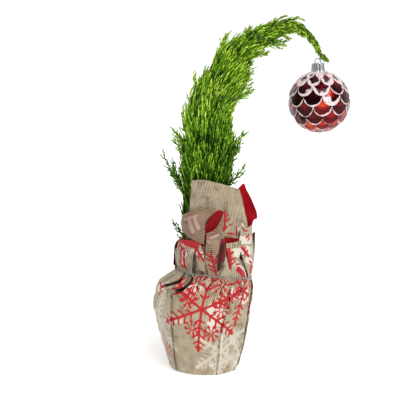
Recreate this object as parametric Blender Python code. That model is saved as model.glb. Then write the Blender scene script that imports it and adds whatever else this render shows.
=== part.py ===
"""Potted lemon cypress, its leader trained over in an arch that carries one bauble.

The origin is the centre of the flat underside of the paper wrap. +Z is up, +X is
the side that the leader bends to, and -Y is the front.
"""

import math
import random

import bmesh
import bpy
from mathutils import Vector

MM = 0.001
GAP = 0.3 * MM

# Nursery pot and its compost
POT_X = -3.0 * MM
POT_BASE_RADIUS = 37.0 * MM
POT_RIM_RADIUS = 54.0 * MM
POT_LIP = 1.2 * MM
POT_LIP_HEIGHT = 5.0 * MM
POT_HEIGHT = 98.0 * MM
POT_WALL = 1.2 * MM
POT_SIDES = 24
SOIL_TOP = 88.0 * MM
SOIL_FLAT_RADIUS = 9.0 * MM
SOIL_ROUGHNESS = 1.3 * MM
SOIL_RING_SHARES = (0.78, 0.5)

# Trunk: (mm along it from the soil, lean from upright in degrees)
LEAN = ((0, 1), (60, 1), (225, 1.2), (245, 7), (268, 26), (310, 27), (350, 56), (392, 66),
        (412, 103), (428, 131.5), (442, 142), (455, 158), (466, 140), (474, 139.5))
# Trunk: (mm along it, radius in mm), with the root flare first
TRUNK_RADIUS = ((0, 6.5), (7, 5.0), (18, 4.2), (150, 3.3), (262, 2.5), (396, 1.5), (474, 0.8))
TRUNK_SPLITS = (0, 262, 396, 468.5)
TRUNK_LENGTH = 474
TRUNK_SIDES = 8
TRUNK_STEP = 7

# Crown: (mm along the trunk, radius of the foliage in mm)
CROWN = ((0, 20), (40, 26), (100, 34), (190, 35.5), (230, 34.5), (275, 30.5), (300, 28.5),
         (325, 22.5), (364, 15.5), (395, 12.5), (415, 9), (438, 5.6), (460, 4.4), (477, 3))
# Foliage masses are stacked cones: mm of rise along the trunk for each mm out from it
CONE_RISE = 1.5
# Lower and upper edge of each cone at the trunk's centre in mm, and its number of sprays
MASSES = ((25, 96, 27), (106, 159, 26), (160, 204, 21), (205, 247, 20), (248, 289, 17),
          (290, 334, 15), (335, 377, 13), (378, 417, 11), (418, 454, 8))
CORE_SHARE = 0.72
CORE_SIDES = 8
CORE_STEP = 10
CORE_ROUGHNESS = 0.1
HOLE_GAP = 0.5
SLEEVE_WALL = 1.3
ZONE_MARGIN = 0.9

# Shoots: each turns on from the last, roots in the core, and rises to the crown's edge.
# Low and high shares of the mass they root at, of their usual length, and of the edge.
SHOOT_TURN = 137.5
SHOOT_TURN_SPREAD = 12
SHOOT_SWING = 9
SHOOT_LEVELS = (0.06, 0.62)
SHOOT_LENGTHS = (0.75, 1.05)
SHOOT_ENDS = (0.84, 1.0)
SHOOT_BASE_LENGTH = 8
SHOOT_LENGTH_PER_REACH = 0.9
SHOOT_RADIUS = 0.7
SHOOT_RADIUS_PER_REACH = 0.035
SHOOT_LOOK_AHEAD = 40
ROOT_SHARE = 0.55
ROOT_DEPTH = 0.5
TRIES_PER_SHOOT = 8

# A shoot's outline: mm from ring to ring, flare at its root, teeth, waist and taper
SPRAY_STEP = 11.5
SPRAY_FLARE = 0.35
SPRAY_TOOTH = 2.1
SPRAY_WAIST = 0.75
SPRAY_TAPER = 0.45

# Longer shoots that break the outline: (mm along, mm out, azimuth round the trunk)
LONG_SHOOTS = ((225, 47, 0), (213, 42.5, 8), (181, 48, 354), (225, 45, 186), (212, 45, 196),
               (106, 44, 186), (286, 38, 180), (264, 32, 176), (246, 36, 184), (340, 29, 180),
               (363, 18, 180), (404, 13, 178), (420, 12, 182), (365, 22, 2), (392, 24, 0),
               (410, 18, 3), (326, 30, 0), (311, 31, 6))
LONG_RADIUS = 1.1
LONG_ROOT_DROP = 10
LONG_ROOT_MARGIN = 5
LONG_LOOK_AHEAD = 30

# Tuft at the leader's tip: foot and tip (mm along, mm out), azimuth, and its shoots:
# share of the way up the stem, mm along, mm out, azimuth
TIP_FOOT = (468.9, 0.0)
TIP_END = (476.5, 0.6)
TIP_AZIMUTH = 180
TIP_THICKNESS = 0.7
TIP_SHOOTS = ((0.15, 475, 3.2, 165), (0.2, 476, 3.4, 205), (0.25, 474.5, 2.6, 250),
              (0.3, 474, 2.6, 120))
SIDE_SHOOT_SHARE = 0.9

# Low limb on the left and the loose spray at its end: (mm along, mm out)
LIMB_FOOT = (108.7, 5.1)
LIMB_TIP = (158, 38)
LIMB_RADII = (1.5, 0.9)
LIMB_SIDES = 6
LIMB_RINGS = 5
LIMB_GAP = 0.45
LIMB_AZIMUTH = 180
LEFT_STEM_TIP = (196, 60)
LEFT_THICKNESS = 1.2
LEFT_SHOOTS = ((0.15, 172, 46, 170), (0.15, 164, 47, 196), (0.35, 181, 51, 186),
               (0.35, 186, 49, 172), (0.6, 190, 56, 190), (0.6, 178, 55, 174))

# Paper wrap, bottom to tie to ruff: left height, left x, right height, right x, front lift
WRAP_ROWS = ((0, -44.0, 0, 42.0, 0), (4, -46.0, 4, 43.5, 0), (30, -54.0, 30, 50.5, 0),
             (60, -62.0, 60, 55.5, 0), (88, -68.0, 88, 59.5, 0), (105, -67.5, 103, 61.5, 1),
             (116, -63.0, 111, 61.0, 2), (125, -51.0, 116, 60.0, 4), (133, -38.2, 121, 58.2, 4.8),
             (141, -38.8, 130, 58.8, 5), (157, -39.9, 148, 59.9, 6))
# Creases between the wrap's panels: angle at the shoulder, angle at the foot, panel level
CREASES = ((-34, -60, -1), (33, 20, 1), (61, 64, 0), (98, 95, 1), (138, 130, -1),
           (176, 170, 1), (212, 205, -1), (248, 240, 1), (286, 272, 0.6))
PANEL_STEP = 1.1 * MM
PANEL_FLATTENING = 2.4 * MM
PANEL_COLUMNS = 4
CREASE_ROW = 4
CREASE_HALF_WIDTH = 0.7
GATHERS = 13
GATHER_DEPTH = 1.1 * MM
PAPER = 1.0 * MM
FLOOR_INSET = 2.6 * MM
FOOT_PANEL_SHARE = 0.45
EDGE_WAVE = 4.0 * MM
EDGE_WAVES = 5

# Neck of the wrap, where the string ties it
NECK_X = 10.0 * MM
TIE_HEIGHT = 127.0 * MM
TIE_SIDE_DROP = 6.0 * MM
TIE_FRONT_LIFT = 4.8 * MM
STRING_RADIUS = 0.5 * MM
STRING_LOOP_RADIUS = 50.4 * MM
STRING_POINTS = 28
FOOT_LIFT = 0.9

# Paper flaps over the tie, rows from foot to edge: (angle, radius, height) in degrees and mm.
# An angle runs from the front towards +X. A height of None stands on the tie.
FLAPS = {
    "flap_front": (
        ((-41, 45, None), (-17, 45, None), (8, 45, None), (34, 45, None), (60, 46, None)),
        ((-43, 45, 195), (-17, 45, 200), (8, 45, 200), (36, 45.5, 197), (62, 49.5, 189)),
        ((-40.6, 45, 223), (-17, 45, 226), (6, 45, 225), (30, 46, 220), (56, 48.5, 210)),
        ((-37.8, 45, 252), (-16.8, 45.5, 253.7), (2.6, 46, 251), (24, 46.5, 246), (46, 47, 240))),
    "flap_right": (
        ((97, 45, None), (120, 45, None), (145, 45, None), (168, 45, None)),
        ((105, 53, 187), (122, 50, 187), (142, 49, 187), (165, 49, 185)),
        ((100, 59, 199), (117, 55, 208), (136, 51, 210), (160, 50, 205)),
        ((114, 56, 220), (124, 53, 233), (130, 52, 240), (148, 51, 224))),
    "flap_back": (
        ((175, 45, None), (193, 45, None), (213, 45, None), (232, 45, None)),
        ((176, 48.5, 180), (193, 48, 182), (213, 48, 182), (232, 48.5, 176)),
        ((182, 51, 205), (195, 51, 218), (207, 52, 229), (224, 51, 206))),
    "flap_curl": (
        ((-26, 51.2, None), (-21, 51.2, None), (-16, 51.2, None), (-12, 51.2, None)),
        ((-38, 53, 172), (-32, 53, 172), (-22, 53.2, 171), (-12, 53.4, 168)),
        ((-46, 56, 187), (-38, 58, 188), (-26, 59, 188), (-10.5, 57.5, 186)),
        ((-55, 50, 197), (-42, 56.5, 198), (-26, 59.5, 200), (-10, 58, 200)),
        ((-55, 47, 207), (-42, 53, 210), (-24, 54.5, 216), (4, 54.5, 219))),
    "flap_left": (
        ((-66, 51.2, None), (-48, 53.4, None), (-32, 54.4, None), (-15, 54.8, None)),
        ((-60, 54, 155), (-43, 55.4, 156), (-28, 56, 155), (-15, 56.2, 153)),
        ((-52.5, 56, 176), (-40, 57.2, 175), (-27.5, 57.4, 172), (-18, 56.6, 167))),
    "pleat_front": (
        ((-6, 51.2, None), (-0.5, 53.5, None), (5, 51.2, None)),
        ((-9, 54, 166), (-0.5, 56, 165), (9, 54, 166)),
        ((-8.5, 55, 184), (2, 57, 190), (12, 55, 196)),
        ((-8.3, 55.5, 188.5), (3.3, 57, 199), (12.3, 55.5, 212.7))),
    "pocket_front": (
        ((27, 51.2, None), (38, 54, None), (50, 51.2, None)),
        ((20, 54, 153), (30, 56, 153.6), (43, 54, 152)),
        ((16.4, 55, 174.5), (26, 57.5, 175.8), (38.6, 56, 177))),
    "panel_right": (
        ((54, 51.2, None), (65, 52.6, None), (80, 51.2, None)),
        ((47, 53, 157), (60, 54.5, 157), (79, 53.5, 157)),
        ((44, 53, 181), (58, 54.5, 183), (78, 53.5, 181)),
        ((50, 52.5, 196), (59, 53, 199), (74, 52.5, 195))),
    "panel_back_right": (
        ((86, 51.2, None), (105, 53, None), (126, 51.2, None)),
        ((86, 53.5, 150), (105, 55, 152), (127, 53.5, 148)),
        ((87, 55, 172), (106, 57, 178), (124, 56, 166))),
    "panel_back": (
        ((132, 51.2, None), (152, 53, None), (176, 51.2, None)),
        ((134, 54, 148), (154, 55, 150), (174, 54, 148)),
        ((138, 57, 172), (155, 58, 177), (171, 56.5, 164))),
    "panel_back_left": (
        ((214, 51.2, None), (248, 53, None), (284, 51.2, None)),
        ((216, 54, 150), (248, 55, 153), (283, 54, 153)),
        ((218, 56, 168), (246, 57, 176), (282, 56, 172))),
}
FLAP_THICKNESS = 0.9 * MM
FLAP_COLUMNS = 5
FLAP_ROWS = 6

# Bow of the string: (angle, radius, height) in degrees and mm
BOW = ((-29.7, 54.6, 132.6), (-27.5, 58.4, 142), (-27, 59.8, 155), (-31, 60.2, 165.5),
       (-38.5, 60.2, 161), (-36.5, 59.8, 150), (-32, 58, 140))
BOW_POINTS = 16
KNOT = (-29.7, 53.2, 132.9)
KNOT_RADIUS = 1.7 * MM

# Bauble, with its wire loop hung over the leader
BALL_RADIUS = 39.5 * MM
BALL_WALL = 1.5 * MM
BALL_SIDES = 20
BALL_BELT = (-84, -66, -48, -30, -12, 6, 24, 42, 60)
BALL_CENTRE = Vector((145.9, 0.0, 349.8)) * MM
BALL_TILT = 3.0
BALL_NECK_RADIUS = 7.2 * MM
BALL_NECK_HEIGHT = 2.0 * MM
CAP_RADIUS = 8.6 * MM
CAP_TOP_RADIUS = 7.4 * MM
CAP_WALL = 0.9 * MM
CAP_HEIGHT = 10.9 * MM
CAP_RECESS = 3.4 * MM
LOOP_RADIUS = 3.7 * MM
LOOP_WIRE = 0.5 * MM
LOOP_HEIGHT = 51.2 * MM
LOOP_POINTS = 16

# Binding wire that holds the bauble's loop to the leader
TIE_PLACE = 464.0
TIE_ON_LOOP = 45
TIE_WIRE = 0.4 * MM
TIE_ROUND = 1.9 * MM
TIE_SLACK = 0.5 * MM
TIE_POINTS = 7

SEED = 11


def make_material(name, colour, roughness, metallic=0.0):
    """Plain Principled material of one colour."""
    material = bpy.data.materials.new(name)
    material.use_nodes = True
    shader = material.node_tree.nodes["Principled BSDF"]
    shader.inputs["Base Color"].default_value = (*colour, 1.0)
    shader.inputs["Roughness"].default_value = roughness
    shader.inputs["Metallic"].default_value = metallic
    return material


def add_object(name, bm, material, smooth=True):
    """Object from a closed bmesh, its faces turned outwards."""
    bmesh.ops.recalc_face_normals(bm, faces=bm.faces)
    mesh = bpy.data.meshes.new(name)
    bm.to_mesh(mesh)
    bm.free()
    if smooth:
        mesh.shade_smooth()
        mesh.set_sharp_from_angle(angle=math.radians(40))
    mesh.materials.append(material)
    obj = bpy.data.objects.new(name, mesh)
    bpy.context.scene.collection.objects.link(obj)
    return obj


def read_table(table, place):
    """Value of a (place, value) table, straight between its entries."""
    for (a, first), (b, second) in zip(table, table[1:]):
        if place <= b:
            return first + (second - first) * max(0.0, place - a) / (b - a)
    return table[-1][1]


def join_rings(bm, rings, closed=False):
    """Faces between rings of equal count, with flat ends unless the rings close on themselves."""
    loops = [[bm.verts.new(point) for point in ring] for ring in rings]
    pairs = list(zip(loops, loops[1:]))
    if closed:
        pairs.append((loops[-1], loops[0]))
    for lower, upper in pairs:
        for i in range(len(lower)):
            j = (i + 1) % len(lower)
            bm.faces.new((lower[i], lower[j], upper[j], upper[i]))
    if not closed:
        bm.faces.new(loops[0])
        bm.faces.new(loops[-1])


def circle(centre_x, radius, height, sides):
    """Level ring of points."""
    angles = [2 * math.pi * i / sides for i in range(sides)]
    return [Vector((centre_x + radius * math.cos(a), radius * math.sin(a), height)) for a in angles]


def trunk_line():
    """Centre line of the trunk at each millimetre: point, direction, and way it leans."""
    line = []
    point = Vector((0.0, 0.0, SOIL_TOP + GAP))
    for place in range(TRUNK_LENGTH + 1):
        lean = math.radians(read_table(LEAN, place))
        along = Vector((math.sin(lean), 0.0, math.cos(lean)))
        out = Vector((math.cos(lean), 0.0, -math.sin(lean)))
        line.append((point.copy(), along, out))
        point += along * MM
    return line


LINE = trunk_line()


def on_trunk(place, u, v):
    """World point beside the trunk: mm along it, and two offsets across it in mm."""
    i = min(int(max(place, 0.0)), TRUNK_LENGTH)
    point, along, out = LINE[i]
    return point + (along * (place - i) + out * u + Vector((0.0, v, 0.0))) * MM


def trunk_ring(place, radius, sides=TRUNK_SIDES):
    """Ring of points round the trunk's centre line."""
    angles = [2 * math.pi * k / sides for k in range(sides)]
    return [on_trunk(place, radius * math.cos(a), radius * math.sin(a)) for a in angles]


def steps(start, end, step):
    """Even places from start to end, no further apart than step."""
    count = max(1, math.ceil((end - start) / step))
    return [start + (end - start) * i / count for i in range(count + 1)]


def make_pot(material):
    """Thin plastic nursery pot with a rolled lip."""
    floor = PAPER + GAP
    top = floor + POT_HEIGHT
    slope = (POT_RIM_RADIUS - POT_BASE_RADIUS) / POT_HEIGHT
    lip_foot = top - POT_LIP_HEIGHT
    under_lip = POT_BASE_RADIUS + slope * (lip_foot - floor)
    profile = ((POT_BASE_RADIUS, floor), (under_lip, lip_foot), (under_lip + POT_LIP, lip_foot + POT_LIP),
               (POT_RIM_RADIUS + POT_LIP, top), (POT_RIM_RADIUS - POT_WALL, top),
               (POT_BASE_RADIUS - POT_WALL, floor + POT_WALL))
    bm = bmesh.new()
    join_rings(bm, [circle(POT_X, radius, height, POT_SIDES) for radius, height in profile])
    return add_object("pot", bm, material)


def make_soil(material):
    """Compost, flat where the trunk stands and rough elsewhere."""
    rng = random.Random(SEED)
    floor = PAPER + GAP
    slope = (POT_RIM_RADIUS - POT_BASE_RADIUS) / POT_HEIGHT
    inset = POT_WALL + 2 * GAP
    foot = floor + POT_WALL + GAP
    edge = SOIL_TOP - 2 * SOIL_ROUGHNESS
    low = POT_BASE_RADIUS + slope * (foot - floor) - inset
    high = POT_BASE_RADIUS + slope * (edge - floor) - inset
    rings = [circle(POT_X, low, foot, POT_SIDES), circle(POT_X, high, edge, POT_SIDES)]
    for share in SOIL_RING_SHARES:
        ring = circle(POT_X, share * high, SOIL_TOP, POT_SIDES)
        for point in ring:
            point.z -= rng.uniform(0.2, 1.6) * SOIL_ROUGHNESS
        rings.append(ring)
    rings.append(circle(0.0, SOIL_FLAT_RADIUS, SOIL_TOP, POT_SIDES))
    bm = bmesh.new()
    join_rings(bm, rings)
    return add_object("soil", bm, material)


def make_trunk(material):
    """Trunk and leader in three lengths, split where they start to bend over."""
    names = ("trunk", "leader_rise", "leader_drop")
    for name, start, end in zip(names, TRUNK_SPLITS, TRUNK_SPLITS[1:]):
        foot = start if start == 0 else start + GAP / MM
        places = steps(foot, end, TRUNK_STEP)
        if start == 0:
            places = [0, 3, 7, 12, 18] + steps(30, 224, 3 * TRUNK_STEP) + steps(231, end, TRUNK_STEP)
        bm = bmesh.new()
        join_rings(bm, [trunk_ring(place, read_table(TRUNK_RADIUS, place)) for place in places])
        add_object(name, bm, material)


def core_mesh(start, end, rng):
    """Rough sleeve of dense foliage round the trunk, between two cones and clear of the bark."""
    outer = []
    inner = []
    for place in steps(start, end, CORE_STEP):
        bark = read_table(TRUNK_RADIUS, place) + HOLE_GAP
        reach = CORE_SHARE * read_table(CROWN, place)
        shell = CORE_SHARE * read_table(CROWN, place + CONE_RISE * reach)
        ring = []
        for k in range(CORE_SIDES):
            angle = 2 * math.pi * k / CORE_SIDES
            away = max(shell * (1 + rng.uniform(-1, 1) * CORE_ROUGHNESS), bark + SLEEVE_WALL)
            ring.append(on_trunk(place + CONE_RISE * away, away * math.cos(angle), away * math.sin(angle)))
        outer.append(ring)
        inner.append(trunk_ring(place + CONE_RISE * bark, bark, CORE_SIDES))
    bm = bmesh.new()
    join_rings(bm, outer + inner[::-1], closed=True)
    return bm


def spray_points(start, out, tip, tip_out, azimuth, swing, thickness, phase):
    """Toothed shoot of foliage as rings of three corners and a tip, in trunk coordinates."""
    length = math.hypot(tip - start, tip_out - out)
    count = max(3, round(length / SPRAY_STEP))
    rings = []
    for j in range(count):
        share = j / count
        along = start + (tip - start) * share
        away = out + (tip_out - out) * share * (1 + SPRAY_FLARE - SPRAY_FLARE * share)
        angle = math.radians(azimuth + swing * share)
        slope = (tip_out - out) * (1 + SPRAY_FLARE - 2 * SPRAY_FLARE * share)
        heading = math.atan2(slope, tip - start)
        sideways = Vector((0.0, math.cos(angle), math.sin(angle)))
        centre = Vector((along, 0.0, 0.0)) + sideways * away
        across = Vector((0.0, -math.sin(angle), math.cos(angle)))
        over = Vector((-math.sin(heading), 0.0, 0.0)) + sideways * math.cos(heading)
        ring = []
        for k in range(3):
            tooth = SPRAY_TOOTH if j and (j + k) % 3 == 0 else SPRAY_WAIST
            radius = thickness * tooth * (1.0 - SPRAY_TAPER * share)
            turn = phase + 2 * math.pi * k / 3
            ring.append(centre + (across * math.cos(turn) + over * math.sin(turn)) * radius)
        rings.append(ring)
    angle = math.radians(azimuth + swing)
    rings.append([Vector((tip, tip_out * math.cos(angle), tip_out * math.sin(angle)))])
    return rings


def spray_object(rings, collection):
    """Closed mesh of one shoot, placed round the bent trunk."""
    bm = bmesh.new()
    loops = [[bm.verts.new(on_trunk(*point)) for point in ring] for ring in rings]
    for lower, upper in zip(loops, loops[1:-1]):
        for k in range(3):
            m = (k + 1) % 3
            bm.faces.new((lower[k], lower[m], upper[m]))
            bm.faces.new((lower[k], upper[m], upper[k]))
    for k in range(3):
        bm.faces.new((loops[-2][k], loops[-2][(k + 1) % 3], loops[-1][0]))
    bm.faces.new(loops[0][::-1])
    bmesh.ops.recalc_face_normals(bm, faces=bm.faces)
    mesh = bpy.data.meshes.new("shoot")
    bm.to_mesh(mesh)
    bm.free()
    obj = bpy.data.objects.new("shoot", mesh)
    collection.objects.link(obj)
    return obj


def inside_zone(rings, start, end):
    """Whether all of a shoot keeps between its mass's two cones."""
    for ring in rings:
        for place, u, v in ring:
            cone = place - CONE_RISE * math.hypot(u, v)
            if not start + ZONE_MARGIN < cone < end - ZONE_MARGIN:
                return False
    return True


def fuse(obj, collection):
    """One Boolean union of an object with a collection, applied, and the collection removed."""
    union = obj.modifiers.new("union", "BOOLEAN")
    union.operation = "UNION"
    union.operand_type = "COLLECTION"
    union.collection = collection
    union.solver = "EXACT"
    bpy.context.view_layer.objects.active = obj
    bpy.ops.object.modifier_apply(modifier=union.name)
    for piece in list(collection.objects):
        bpy.data.objects.remove(piece)
    bpy.data.collections.remove(collection)


def grow_mass(name, start, end, count, rng, material):
    """Mass of foliage: a sleeve that seeded shoots stand out of."""
    collection = bpy.data.collections.new(name + "_shoots")
    bpy.context.scene.collection.children.link(collection)
    turn = rng.uniform(0, 360)
    for attempt in range(count * TRIES_PER_SHOOT):
        shoots = len(collection.objects)
        if shoots == count:
            break
        azimuth = turn + SHOOT_TURN * shoots + rng.uniform(-1, 1) * SHOOT_TURN_SPREAD
        level = start + (end - start) * rng.uniform(*SHOOT_LEVELS)
        reach = read_table(CROWN, level + SHOOT_LOOK_AHEAD)
        out = ROOT_SHARE * reach + ROOT_DEPTH
        along = level + CONE_RISE * out
        length = SHOOT_BASE_LENGTH + SHOOT_LENGTH_PER_REACH * reach
        tip = along + rng.uniform(*SHOOT_LENGTHS) * length
        tip_out = read_table(CROWN, tip) * rng.uniform(*SHOOT_ENDS)
        swing = rng.uniform(-1, 1) * SHOOT_SWING
        radius = SHOOT_RADIUS + SHOOT_RADIUS_PER_REACH * reach
        rings = spray_points(along, out, tip, tip_out, azimuth, swing, radius, rng.uniform(0, 6))
        if inside_zone(rings, start, end):
            spray_object(rings, collection)
    for tip, tip_out, azimuth in LONG_SHOOTS:
        level = max(start + LONG_ROOT_MARGIN, tip - CONE_RISE * tip_out - LONG_ROOT_DROP)
        out = ROOT_SHARE * read_table(CROWN, level + LONG_LOOK_AHEAD)
        rings = spray_points(level + CONE_RISE * out, out, tip, tip_out, azimuth, 0, LONG_RADIUS, 0.5)
        if inside_zone(rings, start, end):
            spray_object(rings, collection)
    obj = add_object(name, core_mesh(start, end, rng), material, smooth=False)
    fuse(obj, collection)


def make_foliage(material):
    """All masses up the trunk, and the tuft at its tip."""
    rng = random.Random(SEED)
    for number, (start, end, count) in enumerate(MASSES):
        grow_mass("foliage_%d" % (number + 1), start, end, count, rng, material)
    grow_spray("foliage_tip", TIP_FOOT, TIP_END, TIP_AZIMUTH, TIP_SHOOTS, TIP_THICKNESS, material)


def grow_spray(name, foot, tip, azimuth, shoots, thickness, material):
    """Loose spray of foliage: one stem with shoots fused along it."""
    collection = bpy.data.collections.new(name + "_shoots")
    bpy.context.scene.collection.children.link(collection)
    for share, along, out, angle in shoots:
        start = foot[0] + (tip[0] - foot[0]) * share
        start_out = foot[1] + (tip[1] - foot[1]) * share * (1 + SPRAY_FLARE - SPRAY_FLARE * share)
        swing = angle - azimuth
        radius = SIDE_SHOOT_SHARE * thickness
        rings = spray_points(start, start_out, along, out, azimuth, swing, radius, 0.9)
        spray_object(rings, collection)
    stem = spray_object(spray_points(*foot, *tip, azimuth, 0, thickness, 0.3), collection)
    collection.objects.unlink(stem)
    bpy.context.scene.collection.objects.link(stem)
    stem.name = name
    stem.data.materials.append(material)
    fuse(stem, collection)


def make_left_limb(wood, green):
    """Low limb between the first two masses, and the loose spray at its tip."""
    bm = bmesh.new()
    azimuth = math.radians(LIMB_AZIMUTH)
    rings = []
    heading = math.atan2(LIMB_TIP[1] - LIMB_FOOT[1], LIMB_TIP[0] - LIMB_FOOT[0])
    sideways = Vector((0.0, math.cos(azimuth), math.sin(azimuth)))
    across = Vector((0.0, -math.sin(azimuth), math.cos(azimuth)))
    over = Vector((-math.sin(heading), 0.0, 0.0)) + sideways * math.cos(heading)
    for i in range(LIMB_RINGS):
        share = i / (LIMB_RINGS - 1)
        along = LIMB_FOOT[0] + (LIMB_TIP[0] - LIMB_FOOT[0]) * share
        away = LIMB_FOOT[1] + (LIMB_TIP[1] - LIMB_FOOT[1]) * share
        radius = LIMB_RADII[0] + (LIMB_RADII[1] - LIMB_RADII[0]) * share
        ring = []
        for k in range(LIMB_SIDES):
            turn = 2 * math.pi * k / LIMB_SIDES
            offset = (across * math.cos(turn) + over * math.sin(turn)) * radius
            ring.append(on_trunk(*(Vector((along, 0.0, 0.0)) + sideways * away + offset)))
        rings.append(ring)
    join_rings(bm, rings)
    add_object("limb_left", bm, wood)

    foot = (LIMB_TIP[0] + LIMB_GAP, LIMB_TIP[1] + LIMB_GAP / CONE_RISE)
    grow_spray("foliage_left", foot, LEFT_STEM_TIP, LIMB_AZIMUTH, LEFT_SHOOTS, LEFT_THICKNESS, green)


def wrap_ring(row, inset):
    """Ring of the paper wrap with its panels, overlaps and gathers, moved in by inset."""
    left_z, left_x, right_z, right_x, lift = WRAP_ROWS[row]
    centre = (left_x + right_x) / 2 * MM
    radius = (right_x - left_x) / 2 * MM
    drop = (left_z - right_z) / 2 * MM
    middle = (left_z + right_z) / 2 * MM
    fade = min(1.0, row / CREASE_ROW)
    above = row - CREASE_ROW
    gathers = min(1.0, max(0.0, above / CREASE_ROW))
    panels = (1.0 - gathers) * (FOOT_PANEL_SHARE + (1.0 - FOOT_PANEL_SHARE) * fade)
    edges = [low + (high - low) * fade for high, low, level in CREASES]
    levels = [level for high, low, level in CREASES]
    points = []
    for i, level in enumerate(levels):
        a = edges[i]
        b = edges[(i + 1) % len(edges)] + (360 if i + 1 == len(edges) else 0)
        for j in range(PANEL_COLUMNS):
            share = j / (PANEL_COLUMNS - 1)
            angle = a + CREASE_HALF_WIDTH + (b - a - 2 * CREASE_HALF_WIDTH) * share
            dent = PANEL_FLATTENING * (1 - (2 * share - 1) ** 2) - PANEL_STEP * level
            gather = GATHER_DEPTH * math.cos(math.radians(GATHERS * angle)) * gathers
            reach = radius - dent * panels + gather - inset
            turn = math.radians(angle)
            height = middle - drop * math.sin(turn) + lift * MM * math.cos(turn)
            if row == len(WRAP_ROWS) - 1:
                height += EDGE_WAVE * math.sin(turn * EDGE_WAVES + 1.0)
            points.append(Vector((centre + reach * math.sin(turn), -reach * math.cos(turn), height)))
    return points


def make_wrap(material):
    """Sheet of kraft paper folded up round the pot, tied at the neck and open above."""
    rows = range(len(WRAP_ROWS))
    outer = [wrap_ring(row, 0.0) for row in rows]
    inner = [wrap_ring(row, PAPER) for row in rows if row > 0]
    floor = [Vector((point.x, point.y, PAPER)) for point in wrap_ring(1, FLOOR_INSET)]
    bm = bmesh.new()
    join_rings(bm, outer + inner[::-1] + [floor])
    return add_object("wrap", bm, material)


def tie_height(angle):
    """Height of the string round the neck, which slopes to the right and the back."""
    turn = math.radians(angle)
    return TIE_HEIGHT - TIE_SIDE_DROP * math.sin(turn) + TIE_FRONT_LIFT * math.cos(turn)


def round_neck(angle, radius, height):
    """World point at an angle, a radius in mm and a height in mm round the neck."""
    turn = math.radians(angle)
    z = tie_height(angle) + FOOT_LIFT * MM if height is None else height * MM
    return Vector((NECK_X + radius * MM * math.sin(turn), -radius * MM * math.cos(turn), z))


def smooth_between(points, share):
    """Point of a smooth curve through a row of points, share 0 to 1 from end to end."""
    span = share * (len(points) - 1)
    i = min(int(span), len(points) - 2)
    t = span - i
    p1, p2 = points[i], points[i + 1]
    p0 = points[i - 1] if i else p1 * 2 - p2
    p3 = points[i + 2] if i + 2 < len(points) else p2 * 2 - p1
    return 0.5 * (p1 * 2 + (p2 - p0) * t + (p0 * 2 - p1 * 5 + p2 * 4 - p3) * t * t
                  + (p1 * 3 - p0 - p2 * 3 + p3) * t * t * t)


def make_flaps(material):
    """Folded corners and pleats of the sheet above the tie."""
    for name, net in FLAPS.items():
        lines = [[round_neck(*point) for point in row] for row in net]
        bm = bmesh.new()
        grid = []
        for r in range(FLAP_ROWS + 1):
            row = []
            for c in range(FLAP_COLUMNS + 1):
                across = [smooth_between(line, c / FLAP_COLUMNS) for line in lines]
                row.append(bm.verts.new(smooth_between(across, r / FLAP_ROWS)))
            grid.append(row)
        for lower, upper in zip(grid, grid[1:]):
            for c in range(FLAP_COLUMNS):
                bm.faces.new((lower[c], lower[c + 1], upper[c + 1], upper[c]))
        obj = add_object(name, bm, material)
        wall = obj.modifiers.new("paper", "SOLIDIFY")
        wall.thickness = FLAP_THICKNESS
        wall.offset = 0.0


def tube(name, points, radius, sides, cyclic):
    """Bevelled poly curve turned into a mesh object."""
    curve = bpy.data.curves.new(name, "CURVE")
    curve.dimensions = "3D"
    curve.bevel_depth = radius
    curve.bevel_resolution = (sides - 4) // 2
    curve.use_fill_caps = not cyclic
    spline = curve.splines.new("POLY")
    spline.points.add(len(points) - 1)
    for target, point in zip(spline.points, points):
        target.co = (*point, 1.0)
    spline.use_cyclic_u = cyclic
    holder = bpy.data.objects.new(name, curve)
    bpy.context.scene.collection.objects.link(holder)
    mesh = bpy.data.meshes.new_from_object(holder)
    bpy.data.objects.remove(holder)
    bpy.data.curves.remove(curve)
    bm = bmesh.new()
    bm.from_mesh(mesh)
    bpy.data.meshes.remove(mesh)
    return bm


def make_string(material):
    """String tied round the neck, and the bow over its knot."""
    ring = []
    for i in range(STRING_POINTS):
        angle = 360.0 * i / STRING_POINTS
        ring.append(round_neck(angle, STRING_LOOP_RADIUS / MM, tie_height(angle) / MM))
    add_object("tie_string", tube("tie_string", ring, STRING_RADIUS, 6, True), material)

    corners = [round_neck(*point) for point in BOW]
    loop = [smooth_between(corners + corners[:1], i / BOW_POINTS) for i in range(BOW_POINTS)]
    bow = add_object("tie_bow", tube("tie_bow", loop, STRING_RADIUS, 6, True), material)
    collection = bpy.data.collections.new("knot")
    bpy.context.scene.collection.children.link(collection)
    bm = bmesh.new()
    bmesh.ops.create_icosphere(bm, subdivisions=2, radius=KNOT_RADIUS)
    bmesh.ops.translate(bm, vec=round_neck(*KNOT), verts=bm.verts)
    knot = add_object("knot", bm, material)
    bpy.context.scene.collection.objects.unlink(knot)
    collection.objects.link(knot)
    fuse(bow, collection)


def tilted_ring(centre, axis, radius, height):
    """Ring round the bauble's axis, at a height along it from the centre."""
    across = Vector((0.0, 1.0, 0.0)).cross(axis).normalized()
    over = axis.cross(across)
    angles = [2 * math.pi * i / BALL_SIDES for i in range(BALL_SIDES)]
    return [centre + axis * height + (across * math.cos(a) + over * math.sin(a)) * radius for a in angles]


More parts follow.
